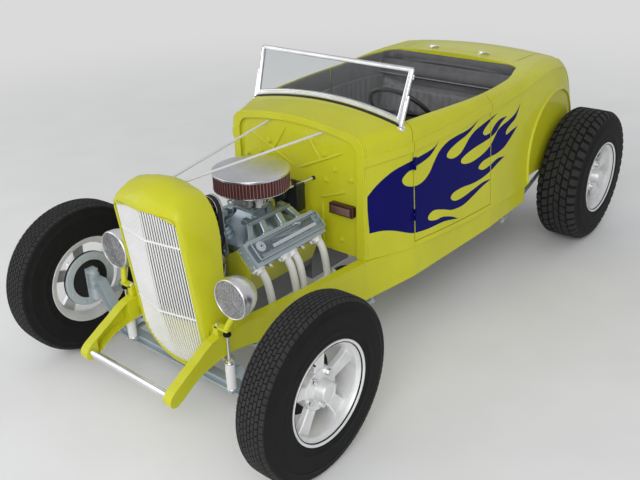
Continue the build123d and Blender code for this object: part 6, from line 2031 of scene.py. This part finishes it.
def make_ignition_box():
    """A dark red case with a finned metal face."""
    place = spot(at(0.289, 0.7965, 0.7285), (0, -1, 0), (1, 0, 0))
    shape = Shape("ignition_case").use(MAROON_CASE)
    shape.slab(place, box_outline(0.0705, 0.028, 0.009, 5), 0.0, 0.030, 0.003)
    shape.slab(place, box_outline(0.062, 0.0225, 0.006, 5), 0.030, 0.0345, 0.0015)
    for x in (-0.066, 0.066):
        for z in (-0.023, 0.023):
            bolt(shape, moved(place, x, z, 0.0292), 0.0026, 0.0025)
    shape.use(PINK_METAL)
    shape.slab(place, box_outline(0.056, 0.018, 0.003, 4), 0.0345, 0.0355, 0.0004)
    for order in range(13):
        rib = moved(place, -0.048 + order * 0.008, 0, 0.0353)
        shape.slab(rib, box_outline(0.002, 0.016, 0.0012, 3), 0.0, 0.0022, 0.0006)
    shape.done("chassis", ("ignition_box",), 34)


def make_sill_covers():
    """The painted strip under each door."""
    shape = Shape("sill_covers").use(YELLOW)
    for side in (1, -1):
        rings = []
        for back in spread(DOOR_FRONT - 0.0004, DOOR_REAR + 0.0004, 20):
            foot, top = [x + 0.0002 for x in (side_x(back, BODY_LOW + 0.0002), side_x(back, SILL_TOP))]
            rings.append([at(side * x, back, z) for x, z in (
                (foot, BODY_LOW - 0.0004), (top, SILL_TOP - 0.001), (top - 0.001, SILL_TOP + 0.0006),
                (top - 0.050, SILL_TOP + 0.0006), (foot - 0.050, BODY_LOW - 0.0004))])
        shape.rings(rings)
    shape.done("chassis", (), 34)


def make_cowl_edge():
    """Two half-round beads along the front edge of the cowl."""
    shape = Shape("cowl_edge_beads").use(YELLOW)
    for back, radius in ((0.7865, 0.0042), (0.801, 0.003)):
        line = [(x, z) for x, z in half_section(back) if z > BODY_LOW + 0.004]
        shape.tube(both_sides(line, back), radius, 10)
    shape.done("chassis", (), 60)


make_cowl_edge()
make_brakes()
make_shock_caps()
make_tail_lamps()
make_tank_details()
make_ignition_box()
make_sill_covers()
for name in ("knuckle_left", "knuckle_right"):
    frame["nodes"][name].data.materials[0] = BRAKE_GREY
frame["nodes"]["radiator_rods"].data.materials[0] = SATIN_WHITE


# Floor and light
def make_floor(material):
    """A wide level floor."""
    half = 30
    mesh = bpy.data.meshes.new("floor")
    mesh.from_pydata([(-half, -half, 0), (half, -half, 0), (half, half, 0), (-half, half, 0)], [],
                     [(0, 1, 2, 3)])
    mesh.materials.append(material)
    plane = bpy.data.objects.new("floor", mesh)
    bpy.context.scene.collection.objects.link(plane)
    return plane


BACKDROP = (0.70, 0.70, 0.70, 1)
FADE_FROM = 2.2
FADE_TO = 8.0


def fade_to_backdrop(finish):
    """Far from the car the floor turns, for the camera's eye alone, into the even tone of the backdrop."""
    tree = finish.tree
    distance = tree.nodes.new("ShaderNodeVectorMath")
    distance.operation = "LENGTH"
    tree.links.new(finish.coords.outputs["Object"], distance.inputs[0])
    fade = tree.nodes.new("ShaderNodeMapRange")
    fade.interpolation_type = "SMOOTHSTEP"
    fade.inputs["From Min"].default_value = FADE_FROM
    fade.inputs["From Max"].default_value = FADE_TO
    tree.links.new(distance.outputs["Value"], fade.inputs["Value"])
    path = tree.nodes.new("ShaderNodeLightPath")
    share = tree.nodes.new("ShaderNodeMath")
    share.operation = "MULTIPLY"
    tree.links.new(fade.outputs["Result"], share.inputs[0])
    tree.links.new(path.outputs["Is Camera Ray"], share.inputs[1])
    even = tree.nodes.new("ShaderNodeEmission")
    even.inputs["Color"].default_value = BACKDROP
    mix = tree.nodes.new("ShaderNodeMixShader")
    tree.links.new(share.outputs["Value"], mix.inputs["Fac"])
    tree.links.new(finish.shader.outputs["BSDF"], mix.inputs[1])
    tree.links.new(even.outputs["Emission"], mix.inputs[2])
    tree.links.new(mix.outputs["Shader"], tree.nodes["Material Output"].inputs["Surface"])


def make_world():
    """Soft light from all round, and the even backdrop where the camera looks past the floor."""
    world = bpy.data.worlds.new("studio")
    bpy.context.scene.world = world
    world.use_nodes = True
    tree = world.node_tree
    shade = tree.nodes["Background"]
    shade.inputs["Color"].default_value = (0.80, 0.81, 0.83, 1)
    shade.inputs["Strength"].default_value = 0.62
    seen = tree.nodes.new("ShaderNodeBackground")
    seen.inputs["Color"].default_value = BACKDROP
    path = tree.nodes.new("ShaderNodeLightPath")
    mix = tree.nodes.new("ShaderNodeMixShader")
    tree.links.new(path.outputs["Is Camera Ray"], mix.inputs["Fac"])
    tree.links.new(shade.outputs["Background"], mix.inputs[1])
    tree.links.new(seen.outputs["Background"], mix.inputs[2])
    tree.links.new(mix.outputs["Shader"], tree.nodes["World Output"].inputs["Surface"])


def make_stage():
    """Floor, backdrop and lights."""
    finish = Finish("floor_finish", (0.88, 0.88, 0.875), 0.85)
    finish.mottle(2, 0.02)
    fade_to_backdrop(finish)
    make_floor(finish.material)
    make_world()
    for name, place, size, power in (
            ("key", (3.2, -5.5, 3.8), 4.5, 200), ("fill", (-4.5, -4.5, 3.2), 5.0, 90),
            ("rim", (-1.0, 6.0, 4.5), 6.0, 35)):
        light = bpy.data.lights.new(name, "AREA")
        light.size = size
        light.energy = power
        lamp = bpy.data.objects.new(name, light)
        lamp.location = place
        lamp.rotation_euler = (Vector((0, 0, 0.5)) - Vector(place)).to_track_quat("-Z", "Y").to_euler()
        bpy.context.scene.collection.objects.link(lamp)
    bpy.context.scene.view_settings.view_transform = "Standard"


make_stage()
